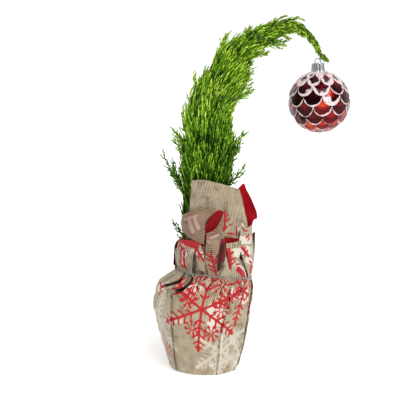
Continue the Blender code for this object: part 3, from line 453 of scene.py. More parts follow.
def wrap_grid():
    """Points of the wrap row by row from floor to collar, with angles, heights, ribs, painted shade."""
    floor = np.array(WRAP_FLOOR)
    shares = np.concatenate([floor[:, 0], np.linspace(0.025, 1, WRAP_ROWS_FINE)])
    rows = shares * (len(WRAP_ROWS) - 1)
    table = spread(WRAP_ROWS, np.maximum(shares, 0))
    columns = np.array(WRAP_ROWS).T
    linear = np.stack([np.interp(rows, range(len(WRAP_ROWS)), column) for column in columns], axis=1)
    table = 0.5 * (table + linear)
    inset = np.concatenate([floor[:, 1], np.zeros(WRAP_ROWS_FINE)])
    fade = np.clip(rows / 4, 0, 1)
    rise = np.clip((rows - 4) / 5, 0, 1)
    edges = [np.interp(rows, PLEAT_ROWS, pleat[0]) for pleat in PLEATS]
    levels = [pleat[1] for pleat in PLEATS]
    count = len(PLEATS)
    starts, ends = [], []
    for i in range(count):
        starts.append(edges[i] - (PLEAT_LAP if levels[i - 1] > levels[i] else 0))
        after = (i + 1) % count
        turn_on = 360 if after == 0 else 0
        ends.append(edges[after] + turn_on + (PLEAT_LAP if levels[after] > levels[i] else 0))
    angles, offsets, dents, ribs = [], [], [], []
    for i in range(count):
        after = (i + 1) % count
        span = ends[i] - starts[i]
        steps = round(math.radians(span.max()) * SHEET_RADIUS_MM / PANEL_COLUMN_MM)
        for j in range(steps + 1):
            t = j / steps
            edge = np.zeros(len(rows))
            if levels[i] > levels[i - 1]:
                edge += np.exp(-np.radians(span) * t * SHEET_RADIUS_MM / PLEAT_EDGE_MM)
            if levels[i] > levels[after]:
                edge += np.exp(-np.radians(span) * (1 - t) * SHEET_RADIUS_MM / PLEAT_EDGE_MM)
            angles.append(starts[i] + span * t)
            offsets.append(PLEAT_STEP_MM * levels[i] + PLEAT_LIFT_MM * edge)
            dents.append(PANEL_FLATTENING_MM * (1 - (2 * t - 1) ** 2))
            ribs.append(PLEATS[i][2])
        back = starts[after] + (360 if after == 0 else 0)
        middle = PLEAT_STEP_MM * (levels[i] + levels[after]) / 2
        for j in range(1, LAP_COLUMNS):
            angles.append(ends[i] + (back - ends[i]) * j / LAP_COLUMNS)
            offsets.append(np.full(len(rows), middle))
            dents.append(0.0)
            ribs.append(PLEATS[i][2])
    angle = np.stack(angles, axis=1)
    offset = np.stack(offsets, axis=1)
    dent = np.array(dents)[None, :]
    keep = (0.5 + 0.5 * fade) * (1 - 0.55 * rise)
    left_z, left_x, right_z, right_x, lift = table.T
    centre = (left_x + right_x) / 2
    radius = (right_x - left_x) / 2 - inset
    turn = np.radians(angle)
    height = ((left_z + right_z) / 2)[:, None] - ((left_z - right_z) / 2)[:, None] * np.sin(turn)
    height += lift[:, None] * np.cos(turn)
    height[:len(floor)] = np.maximum(floor[:, 2:] + 0.2 * (1.2 - offset[:len(floor)]), WRAP_LIFT_MM)
    gather = np.clip((rows - 4) / 4, 0, 1)
    tucks = np.zeros_like(angle)
    for tuck in TUCKS:
        away = (angle - tuck - 3.0 * np.sin(rows + tuck)[:, None] * (1 - rise)[:, None] + 180) % 360 - 180
        tucks += np.exp(-(away / TUCK_WIDTH) ** 2) - 0.22 * np.exp(-(away / (3.4 * TUCK_WIDTH)) ** 2)
    around = np.radians((angle + 110) % 360 - 110) * radius[:, None]
    folds = np.zeros_like(angle)
    shade = np.zeros_like(angle)
    up = np.broadcast_to(rows[:, None] * ROW_MM, angle.shape)
    for line, width, depth in DEEP_FOLDS:
        places = [(math.radians(a) * np.interp(r, rows, radius), r * ROW_MM) for r, a in line]
        strokes = [(*places[k], *places[k + 1], 0.0) for k in range(len(places) - 1)]
        away = stroke_distance(around, up, strokes)
        below = stroke_distance(around, up + 2.2 * width, strokes)
        # Painted shade along the groove, darker for deeper folds
        shade = np.maximum(shade, min(1.0, depth / 6) * np.exp(-(away / (1.15 * width)) ** 4))
        folds += depth * np.exp(-(away / width) ** 2)
        folds -= 0.35 * depth * np.exp(-(below / (1.5 * width)) ** 2)
    dents_now = dent * (0.45 + 0.55 * fade)[:, None] * (1 - rise)[:, None]
    dents_now += TUCK_DEPTH_MM * tucks * gather[:, None] + folds
    reach = radius[:, None] + offset * keep[:, None] - dents_now
    s = np.radians(angle % 360) * SHEET_RADIUS_MM
    creased = crumple(s, height, WRAP_CREASES_MM[0], 2.0)
    creased += 0.5 * crumple(s, height, WRAP_CREASES_MM[1], 5.0)
    reach += creased * (0.25 + 0.35 * fade + 0.35 * gather - 0.6 * rise)[:, None]
    top = np.clip(rows - 9, 0, 1)[:, None]
    height += top * 4.0 * np.sin(turn * 5 + 1.0)
    x = centre[:, None] + reach * np.sin(turn)
    outer = np.stack([x, -reach * np.cos(turn), height], axis=2)
    # The red back, seen only inside the collar, is one plain skin with no pleats
    even = np.radians(angle[-1, 0] + np.arange(angle.shape[1]) * 360 / angle.shape[1])
    inner = []
    for r, gap in INNER_ROWS:
        away = radius[r] - WRAP_WALL_MM - gap
        z = np.maximum(height[r].mean() + 0 * even, 2.0)
        inner.append(np.stack([centre[r] + away * np.sin(even), -away * np.cos(even), z], axis=1))
    grid = np.concatenate([outer, np.array(inner)]) * MM
    return grid, angle, height, np.array(ribs)[None, :], shade


def make_wrap():
    """The folded-up sheet: print, painted highlight, painted fold shade on the sheet; its floor closed.
    """
    grid, angle, height, ribs, shade = wrap_grid()
    away = (angle + 110) % 360 - 110
    s = np.radians(away) * SHEET_RADIUS_MM
    red = np.minimum(stroke_distance(s, height, WRAP_STROKES), flakes_distance(s, height, WRAP_FLAKES))
    white = WHITE_FLAKE_EDGE[0] * flakes_distance(s, height, WRAP_WHITE_FLAKES) + WHITE_FLAKE_EDGE[1]
    bloom = np.maximum(stroke_distance(s, height, WRAP_BLOOM), 0)
    white = np.minimum(white, BLOOM_EDGE[0] * bloom + BLOOM_EDGE[1])
    white = np.minimum(white, stroke_distance(s, height, WRAP_WHITE_AND_HIGHLIGHT))
    extra = len(grid) - len(s)
    sheet = np.stack([s, height], axis=2)
    sheet = np.concatenate([sheet, np.repeat(sheet[-1:], extra, axis=0)])
    red = np.concatenate([red, np.full((extra, red.shape[1]), 99.0)])
    white = np.concatenate([white, np.full((extra, white.shape[1]), 99.0)])
    shade = np.concatenate([shade, np.zeros((extra, shade.shape[1]))])
    return paper_piece("wrap_sheet", ["wrap"], grid, sheet, red, white, ribs, back_rows=extra, fold=shade)


paper_front = paper_material()
paper_back = paper_back_material()
make_wrap()


# Collar of the wrap. Above the string the folded corners of the sheet stand up: a tall flat flap at
# the front, a rolled cone beside it, tucks and pockets, and plain flaps round the back. Each is a
# net of rows from foot to edge: angle and radius round the neck, and height, in degrees and mm. The
# foot row has no heights, as it stands under the string.
NECK_X_MM = 10.0
NECK_SHEET_MM = 54.0
NECK_SEAM = -1.9
TIE_MM = (127.0, 6.0, 4.8)
FOOT_ROWS = ((48.6, -6.0), (49.4, 0.0), (50.6, 4.0))
FLAP_STEP_MM = 1.5
FLAP_CRUMPLE_MM = 0.35
FLAP_CREASES_MM = (19.0, 8.0)
FLAP_FREE_MM = 12.0
FLAP_FOLD_EDGE_MM = 4.0
FLAPS = {
    "flap_front": (
        ((-41, 45), (-17, 45), (8, 45), (34, 45), (60, 46)),
        ((-43, 45, 195), (-17, 45, 200), (8, 45, 200), (36, 45.5, 197), (62, 49.5, 189)),
        ((-40.6, 45, 223), (-17, 45, 226), (6, 45, 225), (30, 46, 220), (56, 48.5, 210)),
        ((-37.8, 45, 252), (-16.8, 45.5, 253.7), (2.6, 46, 251), (24, 46.5, 246), (46, 47, 240))),
    "flap_right": (
        ((97, 45), (120, 45), (145, 45), (168, 45)),
        ((105, 53, 187), (122, 50, 187), (142, 49, 187), (165, 49, 185)),
        ((100, 59, 199), (117, 55, 208), (136, 51, 210), (160, 50, 205)),
        ((114, 56, 220), (124, 53, 233), (130, 52, 240), (148, 51, 224))),
    "flap_back": (
        ((175, 45), (193, 45), (213, 45), (232, 45)),
        ((176, 48.5, 180), (193, 48, 182), (213, 48, 182), (232, 48.5, 176)),
        ((182, 51, 205), (195, 51, 218), (207, 52, 229), (224, 51, 206))),
    "flap_curl": (
        ((-30, 50.8), (-24, 50.8), (-18, 50.8), (-12, 50.8)),
        ((-39, 51.2, 162), (-30, 51.4, 162), (-21, 51.6, 162), (-12, 51.8, 162)),
        ((-42, 51.6, 184.5), (-33, 52.4, 180.5), (-24, 52.8, 176), (-12.5, 52.6, 171.5)),
        ((-43, 55.5, 186.6), (-34, 57.6, 183.3), (-25, 58.6, 178.8), (-12, 57.3, 174)),
        ((-49, 54.5, 196), (-38, 59, 195), (-25, 60.3, 193), (-10.3, 58.3, 188)),
        ((-53, 51, 202.5), (-42, 56.5, 203), (-26, 59.6, 205), (-9, 58, 203)),
        ((-52.5, 48.5, 207), (-42, 53, 210.5), (-24, 54.5, 217), (4, 54.5, 219.5))),
    "flap_left": (
        ((-66, 51.2), (-48, 53.4), (-32, 52.4), (-12.5, 51.4)),
        ((-61, 54, 146), (-44, 56, 146), (-29, 50.9, 146), (-11.5, 53.6, 146)),
        ((-58, 55, 160), (-43, 57.4, 161), (-28.5, 51.4, 160), (-12.5, 55.2, 160)),
        ((-53.6, 55.6, 171), (-41, 57.6, 172), (-28, 55.2, 171), (-15.5, 56.2, 170)),
        ((-51.6, 56, 177), (-40, 57.3, 177.8), (-28, 57.2, 177.5), (-17.4, 56.4, 175.5))),
    "pleat_front": (
        ((-7.5, 51.2), (-1, 53.5), (5.5, 51.2)),
        ((-10.8, 54, 152), (-3, 56, 152), (5.0, 54, 152)),
        ((-10, 54.6, 170), (-1, 57, 170), (7.8, 54.6, 170)),
        ((-8.9, 55, 184), (1.5, 57.5, 189), (12, 55, 195)),
        ((-9.3, 55.5, 187.5), (2.6, 57.5, 194), (12.9, 55.5, 211.5))),
    "pocket_front": (
        ((23.5, 51.2), (30, 53.4), (36, 51.2)),
        ((22.5, 53.4, 144), (27, 55.4, 145), (32, 53.4, 147)),
        ((19.5, 54.6, 158), (28, 56.8, 158.5), (38, 55.2, 160)),
        ((16.8, 55, 174.3), (27, 57.4, 175.6), (38.9, 56, 176.6))),
    "panel_right": (
        ((62, 51.2), (74, 52.6), (86, 51.2)),
        ((52, 52.6, 139), (69, 54.3, 139), (85, 52.8, 139)),
        ((44.5, 53.6, 151), (63, 54.6, 151), (83, 53.2, 151)),
        ((40.5, 52.6, 165), (60, 53.8, 165), (82, 52.4, 165)),
        ((40, 51.2, 177), (60, 52.8, 178), (82, 51.4, 177)),
        ((45, 49.4, 189), (60, 50.8, 190.5), (80, 50.8, 191.5))),
    "panel_back_right": (
        ((86, 51.2), (105, 53), (126, 51.2)),
        ((86, 53.5, 150), (105, 55, 152), (127, 53.5, 148)),
        ((87, 55, 172), (106, 57, 178), (124, 56, 166))),
    "panel_back": (
        ((132, 51.2), (152, 53), (176, 51.2)),
        ((134, 54, 148), (154, 55, 150), (174, 54, 148)),
        ((138, 57, 172), (155, 58, 177), (171, 56.5, 164))),
    "panel_back_left": (
        ((214, 51.2), (244, 53), (276, 51.2)),
        ((216, 54, 146), (243, 54.5, 142), (270, 52, 138)),
        ((218, 56, 170), (240, 57, 162), (262, 52.5, 147))),
}
# Red print on the flaps, as strokes in mm on the sheet with half their width, and turn of the ribs
FLAP_PRINT = {
    "flap_front": (8, ((16.8, 189.8, 17.9, 213.7, 1.6), (17.7, 192.6, 30, 197.2, 1.3),
        (19.2, 200.5, 25.5, 204.5, 1.2), (19.4, 206, 23.6, 210.2, 1.1), (14.2, 189.4, 37, 181.2, 1.6),
        (37, 181.2, 56.9, 176.1, 1.5), (37, 182.1, 38.1, 193.6, 1.3), (46.6, 180.2, 50.3, 191.0, 1.3),
        (56.8, 182.9, 60, 192.1, 1.3))),
    "flap_right": (80, ()),
    "flap_back": (20, ((150, 150, 164, 190, 1.8), (164, 190, 176, 196, 1.3), (164, 190, 156, 202, 1.3),
        (158, 172, 170, 178, 1.3), (158, 172, 150, 182, 1.3))),
    "flap_curl": (84, ((-37, 184.2, -30.7, 180.6, 1.5), (-30.7, 180.6, -23.8, 176.8, 1.5),
        (-23.8, 176.8, -12, 171.6, 1.5))),
    "flap_left": (12, ((-50, 176, -15, 175.5, 3.2), (-34, 174, -22, 170.5, 4.2),
        (-23, 168.3, -12.5, 152.0, 1.7), (-24, 165, -25.5, 155.5, 1.3), (-20, 163, -19.5, 152.5, 1.2),
        (-17.5, 160, -11.5, 160.5, 1.1), (-46, 171, -38.5, 164.5, 2.2), (-42.5, 167, -45, 141, 1.5),
        (-38, 166, -39.5, 142, 1.4), (-47, 170, -50, 163, 1.3), (-44, 145, -39, 138, 1.6),
        (-45.5, 150, -50, 145, 1.1))),
    "pleat_front": (86, ((4.0, 134, -1.5, 157.7, 1.5), (-9.4, 162, -2.4, 156, 1.2),
        (-8.6, 155.2, 0.2, 151, 1.2), (5.8, 154, 0.5, 147, 1.2), (-6.5, 147.6, 2.0, 142.6, 1.2),
        (-4.4, 141.5, 3.2, 137.5, 1.1), (-2.0, 165, -3.4, 156.5, 1.2), (5.4, 160, 1.5, 152, 1.0),
        (-3.9, 180.7, 7, 183.5, 0.5), (-0.3, 186.4, 8.8, 190.1, 0.5), (-6, 184, 4, 187, 0.4))),
    "pocket_front": (10, ((19.2, 167.7, 20.6, 157.5, 1.7), (20.6, 157.5, 21.8, 141.4, 2.1),
        (21.1, 159.3, 24.5, 163.7, 1.3), (22.1, 152.9, 27.6, 155.6, 1.3),
        (21.6, 146.5, 27.1, 150.6, 1.3), (18, 158, 16, 164.5, 1.3))),
    "panel_right": (80, ((46.5, 188.6, 53.1, 186, 1.3), (38.3, 168, 45.6, 162.1, 1.8),
        (45.6, 162.1, 52.6, 154.1, 1.9), (45, 163, 47.7, 166, 1.3), (41, 166, 45, 167.5, 1.2),
        (46, 160, 45.6, 155.6, 1.3), (48, 159, 51.5, 162, 1.3), (60.4, 164.1, 60.6, 163.0, 1.2),
        (61.6, 159.2, 61.7, 157.5, 1.3), (60.5, 155, 60.8, 153.4, 1.2), (61.8, 149.4, 62, 148.0, 1.1),
        (60, 137, 67, 126, 2.2), (55, 147, 62, 143, 1.4), (66, 150, 74, 140, 1.8),
        (68, 146, 76, 147, 1.2), (58, 141, 66, 138, 1.3), (56, 181, 50, 178, 1.4),
        (53, 174, 57, 178, 1.2))),
    "panel_back_right": (75, ((92, 132, 104, 160, 1.7), (97, 144, 108, 143, 1.3),
        (97, 144, 90, 154, 1.3))),
    "panel_back": (12, ((136, 134, 150, 166, 1.7), (143, 150, 155, 150, 1.3),
        (143, 150, 138, 161, 1.3))),
    "panel_back_left": (30, ((222, 134, 238, 166, 1.7), (230, 150, 243, 152, 1.3),
        (230, 150, 224, 162, 1.3), (252, 140, 262, 160, 1.5), (256, 150, 266, 148, 1.2))),
}
# White print on the flaps, and painted sheen on the curl, by sheet, as strokes with half their width
FLAP_WHITE_AND_SHEEN = {
    "flap_front_sheet": ((26, 183, 52, 177, 1.8), (40, 190, 50, 186, 2.2), (48, 196, 58, 184, 1.5)),
    "panel_right_sheet": ((40, 176, 62, 174, 5.0), (42, 163, 62, 160, 5.5), (50, 150, 64, 144, 4.0)),
    "pocket_front_sheet": ((26, 165, 35, 164, 3.0), (28, 159, 34, 158, 3.0), (24, 150, 28, 146, 2.0)),
    "tuck_sheet": ((32, 146, 46, 132, 5.0), (44, 138, 52, 128, 4.0)),
    "flap_left_sheet": ((-44, 170, -38, 158, 3.0), (-28, 162, -15, 160, 4.0), (-44, 150, -40, 142, 2.4)),
    "pleat_front_sheet": ((-3, 182, 6, 186, 1.6), (-8, 178, -4, 176, 1.2)),
    # The curl's white is a painted sheen along its top
    "flap_curl_sheet": ((-38, 203, -20, 210, 1.4), (-30, 206, -24, 190, 2.6), (-22, 206, -17, 194, 2.0)),
}
# Places where a flap is tucked in deep, darkened there with painted shade, as strokes with half their
# width
FLAP_FOLD_SHADES = {
    "flap_left_sheet": ((-27, 160, -29, 136, 3.4), (-24, 146, -17, 134, 2.4), (-34, 146, -32, 134, 2.0)),
    "flap_curl_sheet": ((-27, 162, -29, 134, 5.0), (-20, 150, -14, 132, 4.0), (-38, 186, -33, 176, 1.5)),
    "fold_sheet": ((7, 142, 12, 172, 4.5),),
    "pleat_front_sheet": ((4.4, 140, 4.2, 160, 1.2),),
    "corner_sheet": ((5, 128, 14, 146, 2.5),),
    "panel_right_sheet": ((38.5, 160, 48, 140, 1.6), (48, 140, 58, 127, 1.6)),
    "pocket_front_sheet": ((30, 147, 36, 156, 1.4),),
}
# How far each flap is darkened pinkish at its left, its right and its foot, partly by the red back
# showing through and partly as painted shade, and how much painted light brightens its red back, as where
# light shines through
FLAP_TONES = {"flap_curl": (1.0, 0.85, 1.0, 0.1), "pleat_front": (1.0, 0.95, 0.55, 0.1),
              "flap_right": (0.0, 0.0, 1.0, 0.72), "flap_front": (0.2, 0.2, 1.0, 0.3),
              "flap_left": (0.3, 0.2, 1.0, 0.2)}
PLAIN_TONES = (0.0, 0.0, 1.0, 0.2)
# Parts of the sheet that are seen from behind, red: inside the rolled cone and the pocket
RED_INSIDES = {
    "roll_inside": (((-11, 54.0, 178), (-6, 50.5, 176), (2, 50.0, 178), (10, 53.5, 186)),
                    ((-10.8, 53.6, 189), (-5, 50.3, 190), (4, 50.0, 192), (12, 53.5, 199)),
                    ((-9.0, 53.8, 199), (-3, 51.6, 204), (6, 51.3, 208), (13.4, 53.6, 211)),
                    ((-4.8, 54.4, 206.4), (1.7, 53.6, 213.6), (8, 53.4, 216.6), (13.9, 54.3, 214.4))),
    "pocket_inside": (((17, 51.8, 160), (28, 50.5, 160), (38, 51.5, 164)),
                      ((15.8, 52.2, 176), (27, 51.0, 176), (38.5, 52.3, 176.8)),
                      ((15.0, 52.8, 182.4), (27, 52.4, 180.6), (39, 53.2, 178.2))),
}
# Folds of the sheet deep between the flaps, its printed side out: net, turn of the ribs, red strokes
DEEP_SHEETS = {
    "fold_sheet": ((
        ((4, 50.2), (9, 49.8), (14, 50.2)),
        ((3.5, 51.2, 143), (9, 50.6, 143), (15, 51.2, 143)),
        ((3.5, 52.0, 158), (10, 51.0, 158), (17.6, 52.6, 158)),
        ((7.0, 52.4, 171), (12, 51.4, 171), (16.5, 52.8, 171)),
        ((10.2, 52.6, 181), (12, 52.2, 181), (14.2, 52.8, 180))),
        60, ((6, 142, 12, 176, 3.4), (13, 168, 14, 152, 2.4), (4, 146, 5, 158, 2.0),
        (6, 150, 14, 158, 1.4))),
    "corner_sheet": ((
        ((5, 51.0), (16, 52.4), (27, 51.2)),
        ((10.5, 52.4, 141), (16.5, 53.2, 140.5), (22.8, 52.6, 140)),
        ((15.0, 53.2, 149.6), (17.5, 53.6, 149.3), (20.2, 53.4, 149)),
        ((16.3, 53.4, 157), (16.9, 53.5, 157.2), (17.6, 53.6, 157.4))),
        50, ()),
    "tuck_sheet": ((
        ((29, 50.6), (42, 51.8), (57, 50.8)),
        ((29, 51.2, 136), (40, 52.2, 136), (51.5, 51.6, 136)),
        ((30, 51.8, 147), (36.5, 52.4, 147), (43, 51.8, 146.5)),
        ((33, 52, 157), (36, 52.3, 157), (39.5, 52, 156.5))),
        20, ((36, 139, 46, 130, 3.4), (31, 146, 38, 146, 1.2), (34, 142, 30.5, 132, 1.2),
        (46, 133, 51, 126, 2.0))),
}
# Red insides: almost no painted light, so dark red as painted shade in the cone and the pocket
INSIDE_TONES = (0.0, 0.0, 1.0, 0.05)
# Deep sheets: the fold darkened wholly and the tuck partly, as painted shade
DEEP_TONES = ((1.0, 1.0, 1.0, 0.1), (0.0, 0.0, 1.0, 0.1), (0.3, 0.3, 1.0, 0.1))
# Seeds of the creases: the first of each group of sheets, and the step from one to the next
CREASE_SEEDS = (0, 90, 150)
CREASE_SEED_STEP = 7.3
INSIDE_RIB_TURN = 84


def neck_points(net):
    """World points in mm of a net of (angle, radius, height); without a height, one on the tie."""
    points = []
    for row in net:
        line = []
        for angle, radius, *height in row:
            turn = math.radians(angle)
            tie = TIE_MM[0] - TIE_MM[1] * math.sin(turn) + TIE_MM[2] * math.cos(turn)
            flat = (NECK_X_MM + radius * math.sin(turn), -radius * math.cos(turn))
            line.append((*flat, *(height or (tie,))))
        points.append(line)
    return np.array(points)


def smooth_net(points, rows, columns):
    """Grid of rows by columns on the smooth surface through a net."""
    across = np.stack([spread(line, np.linspace(0, 1, columns)) for line in points])
    return spread(across, np.linspace(0, 1, rows))


def flap_piece(name, nodes, net, rib_turn, red_strokes, seed, tones, swap=False):
    """One folded corner of the sheet from its net, creased, with its print and painted fold shade."""
    points = neck_points(net)
    if len(net[0][0]) == 2:
        feet = []
        for radius, rise in FOOT_ROWS:
            inner = min(radius, net[0][0][1])
            feet.append(neck_points([[(angle, inner) for angle, _ in net[0]]])[0] + [0, 0, rise])
        points = np.concatenate([feet, points[1:]])
    width = np.linalg.norm(np.diff(points, axis=1), axis=2).sum(axis=1).max()
    height = np.linalg.norm(np.diff(points, axis=0), axis=2).sum(axis=0).max()
    rows = max(8, round(height / FLAP_STEP_MM))
    columns = max(8, round(width / FLAP_STEP_MM))
    grid = smooth_net(points, rows, columns)
    angle = np.arctan2(grid[..., 0] - NECK_X_MM, -grid[..., 1])
    angle = np.where(angle < NECK_SEAM, angle + 2 * math.pi, angle)
    s = angle * NECK_SHEET_MM
    z = grid[..., 2]
    out = np.stack([np.sin(angle), -np.cos(angle), np.zeros_like(angle)], axis=2)
    creased = crumple(s, z, FLAP_CREASES_MM[0], seed) + 0.5 * crumple(s, z, FLAP_CREASES_MM[1], seed + 3)
    free = np.clip((z - z.min()) / FLAP_FREE_MM, 0.1, 1.0)
    grid = grid + out * (FLAP_CRUMPLE_MM * creased * free)[..., None]
    red = stroke_distance(s, z, red_strokes)
    white = stroke_distance(s, z, FLAP_WHITE_AND_SHEEN.get(name, ()))
    # Painted shade where the flap is tucked in deep
    fold = np.clip(0.15 - stroke_distance(s, z, FLAP_FOLD_SHADES.get(name, ())) / FLAP_FOLD_EDGE_MM, 0, 1)
    # Darkening across the flap and up from its foot: red back showing through, and painted shade
    left, right, foot, light = tones
    across = np.linspace(0, 1, grid.shape[1])[None, :]
    up = np.linspace(0, 1, grid.shape[0])[:, None] ** 2
    shows_and_shade = (left + (right - left) * across) * (foot + (1 - foot) * up)
    return paper_piece(name, nodes, grid * MM, np.stack([s, z], axis=2), red, white, rib_turn, swap=swap,
                       shows_and_shade=shows_and_shade, light=light, fold=fold)


for number, (node_name, net) in enumerate(FLAPS.items()):
    rib_turn, strokes = FLAP_PRINT[node_name]
    flap_piece(node_name + "_sheet", [node_name], net, rib_turn, strokes,
               CREASE_SEEDS[0] + number * CREASE_SEED_STEP, FLAP_TONES.get(node_name, PLAIN_TONES))
for number, (piece_name, net) in enumerate(RED_INSIDES.items()):
    flap_piece(piece_name, [], net, INSIDE_RIB_TURN, (), CREASE_SEEDS[1] + number * CREASE_SEED_STEP,
               INSIDE_TONES, swap=True)
for number, (piece_name, (net, rib_turn, strokes)) in enumerate(DEEP_SHEETS.items()):
    flap_piece(piece_name, [], net, rib_turn, strokes, CREASE_SEEDS[2] + number * CREASE_SEED_STEP,
               DEEP_TONES[number])


# String and bow. Thin two-ply cotton twine, greyed, goes once round the neck of the wrap over the
# feet of its folded corners, and is knotted at the front left with one loop standing up.
TWINE_RADIUS_MM = 50.5
PLY_MM = 0.36
PLY_OFFSET_MM = 0.32
PLY_TURN_MM = 3.4
PLY_SIDES = 5
TWINE_STEPS = 640
BOW_STEP_MM = 0.5
KNOT_STEPS = 60
# Angle and radius round the neck, and height, in degrees and mm
BOW_LOOP = ((-33.2, 51.4, 135.2), (-32.2, 52.6, 138.0), (-31.0, 53.2, 146.0), (-29.5, 54.0, 153.8),
            (-27.8, 55.6, 160.4), (-29.9, 58.2, 164.7), (-34.3, 58.6, 166.4), (-39.0, 59.0, 164.3),
            (-41.4, 59.2, 159.8), (-39.2, 58.8, 156.5), (-36.4, 57.0, 152.5), (-34.4, 55.2, 146.5),
            (-33.4, 53.2, 140.0), (-33.8, 51.6, 135.4))
BOW_ENDS = (((-33.6, 51.6, 135.0), (-36.2, 52.2, 132.4), (-38.0, 52.4, 128.2), (-38.6, 52.8, 124.5)),
            ((-33.4, 51.6, 135.0), (-29.6, 52.2, 131.0), (-27.2, 52.4, 127.6)))
KNOT_MM = (-33.5, 51.5, 135.1)
TWINE_COLOURS = ("#66615B", "#B5AFA7")


def unit(vectors):
    """Rows of vectors, each made 1 long."""
    return vectors / np.linalg.norm(vectors, axis=1)[:, None]


def ply_tube(path, closed, phase):
    """Points and faces of one ply wound round a path of world points in mm."""
    step = np.linalg.norm(np.diff(path, axis=0), axis=1)
    along = np.concatenate([[0], np.cumsum(step)])
    turns = round(along[-1] / PLY_TURN_MM) if closed else along[-1] / PLY_TURN_MM
    way = np.gradient(path, axis=0)
    if closed:
        way[0] = way[-1] = path[1] - path[-2]
    way = unit(way)
    side = unit(np.cross(way, [0.12, 0.2, 1.0]))
    over = np.cross(side, way)
    turn = 2 * math.pi * turns * along / along[-1] + phase
    centre = path + PLY_OFFSET_MM * (side * np.cos(turn)[:, None] + over * np.sin(turn)[:, None])
    k = (np.arange(PLY_SIDES) * 2 * math.pi / PLY_SIDES)[None, :, None]
    points = centre[:, None] + PLY_MM * (side[:, None] * np.cos(k) + over[:, None] * np.sin(k))
    if closed:
        points = points[:-1]
    faces = grid_faces(len(points), PLY_SIDES, closed_rows=closed, flip=True)
    if not closed:
        last = (len(points) - 1) * PLY_SIDES
        faces.append(list(range(PLY_SIDES)))
        faces.append([last + a for a in range(PLY_SIDES)][::-1])
    return points.reshape(-1, 3), faces


def face_outwards(obj):
    select_only(obj)
    bpy.ops.object.mode_set(mode="EDIT")
    bpy.ops.mesh.select_all(action="SELECT")
    bpy.ops.mesh.normals_make_consistent(inside=False)
    bpy.ops.object.mode_set(mode="OBJECT")


def twine_piece(name, node_name, paths):
    points, faces = [], []
    first = 0
    for path, closed in paths:
        for phase in (0.0, math.pi):
            more, quads = ply_tube(path, closed, phase)
            points.append(more)
            faces += [[first + corner for corner in quad] for quad in quads]
            first += len(more)
    obj = mesh_object(name, np.concatenate(points) * MM, faces, [twine])
    face_outwards(obj)
    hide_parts(node_name)
    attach(obj, "root")


def smooth_path(net):
    """Evenly stepped path through one row of a net round the neck."""
    points = neck_points([net])[0]
    length = np.linalg.norm(np.diff(points, axis=0), axis=1).sum()
    return spread(points, np.linspace(0, 1, max(6, round(length / BOW_STEP_MM))))


def neck_path():
    """The string round the neck: not quite round and not quite level, and closed on itself."""
    turn = np.linspace(0, 2 * math.pi, TWINE_STEPS)
    reach = TWINE_RADIUS_MM + 0.25 * np.sin(9 * turn)
    level = TIE_MM[0] - TIE_MM[1] * np.sin(turn) + TIE_MM[2] * np.cos(turn) + 0.5 * np.sin(4 * turn)
    path = np.stack([NECK_X_MM + reach * np.sin(turn), -reach * np.cos(turn), level], axis=1)
    path[-1] = path[0]
    return path


def knot_path():
    """Two turns of string on top of each other where the bow is tied."""
    middle = neck_points([[KNOT_MM]])[0][0]
    angle = math.radians(KNOT_MM[0])
    aside = np.array([math.cos(angle), math.sin(angle), 0.0])
    front = np.array([math.sin(angle), -math.cos(angle), 0.0])
    path = [middle + aside * (1.5 * math.cos(t / 2)) + front * (1.0 * math.sin(t) + 0.5)
            + np.array([0, 0, 1.3 * math.cos(t)]) for t in np.linspace(0, 4 * math.pi, KNOT_STEPS)]
    return np.array(path)


# Fibres are drawn coarser than real so that they show
twine = grained_material("grey_cotton_twine", {"Roughness": 0.8, "Specular IOR Level": 0.25},
                         TWINE_COLOURS, "TexNoise", {"Scale": 900.0, "Detail": 2.0}, 0.0002)
twine_piece("neck_string", "tie_string", [(neck_path(), True)])
twine_piece("bow_loop", "tie_bow", [(path, False) for path in (
    smooth_path(BOW_LOOP), knot_path(), *[smooth_path(end) for end in BOW_ENDS])])


# Trunk, leader and low limb. Thin red-brown wood with stringy bark, bent over at the top. A finer
# tube with the bark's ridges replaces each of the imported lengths.
LEAN = ((0, 1), (60, 1), (225, 1.2), (245, 7), (268, 26), (310, 27), (350, 56), (392, 66),
        (412, 103), (428, 131.5), (442, 142), (455, 158), (466, 140), (474, 139.5))
TRUNK_FOOT = 88.3 * MM
TRUNK_LENGTH_MM = 474
TRUNK_RADIUS_MM = ((0, 6.5), (7, 5.0), (18, 4.2), (150, 3.3), (262, 2.5), (396, 1.5), (474, 0.8))
TRUNK_LENGTHS_MM = (("trunk", 0, 262), ("leader_rise", 262.3, 396), ("leader_drop", 396.3, 468.5))
TRUNK_SIDES = 18
BARK_STEP_MM = 1.6
BARK_RIDGES = 9
BARK_DEPTH = 0.09
BARK_COLOURS = ("#4A2E1B", "#8A5F3E")
# The low limb's foot and tip: mm along the trunk, mm out from it, radius
LIMB_FOOT_MM = (108.7, 5.1, 1.5)
LIMB_TIP_MM = (158, 38, 0.9)
LIMB_RINGS = 40


def read_table(table, place, column=1):
    """Value of a table of places and values, straight between its entries."""
    return np.interp(place, [row[0] for row in table], [row[column] for row in table])


def trunk_line():
    """Centre of the trunk, its direction and the way it leans, at each millimetre."""
    lean = np.radians(read_table(LEAN, np.arange(TRUNK_LENGTH_MM + 1)))
    along = np.stack([np.sin(lean), np.zeros_like(lean), np.cos(lean)], axis=1)
    out = np.stack([np.cos(lean), np.zeros_like(lean), -np.sin(lean)], axis=1)
    points = np.concatenate([np.zeros((1, 3)), np.cumsum(along[:-1], axis=0)]) * MM
    return points + np.array([0.0, 0.0, TRUNK_FOOT]), along, out


LINE, LINE_ALONG, LINE_OUT = trunk_line()
LINE_SIDE = np.array([0.0, 1.0, 0.0])


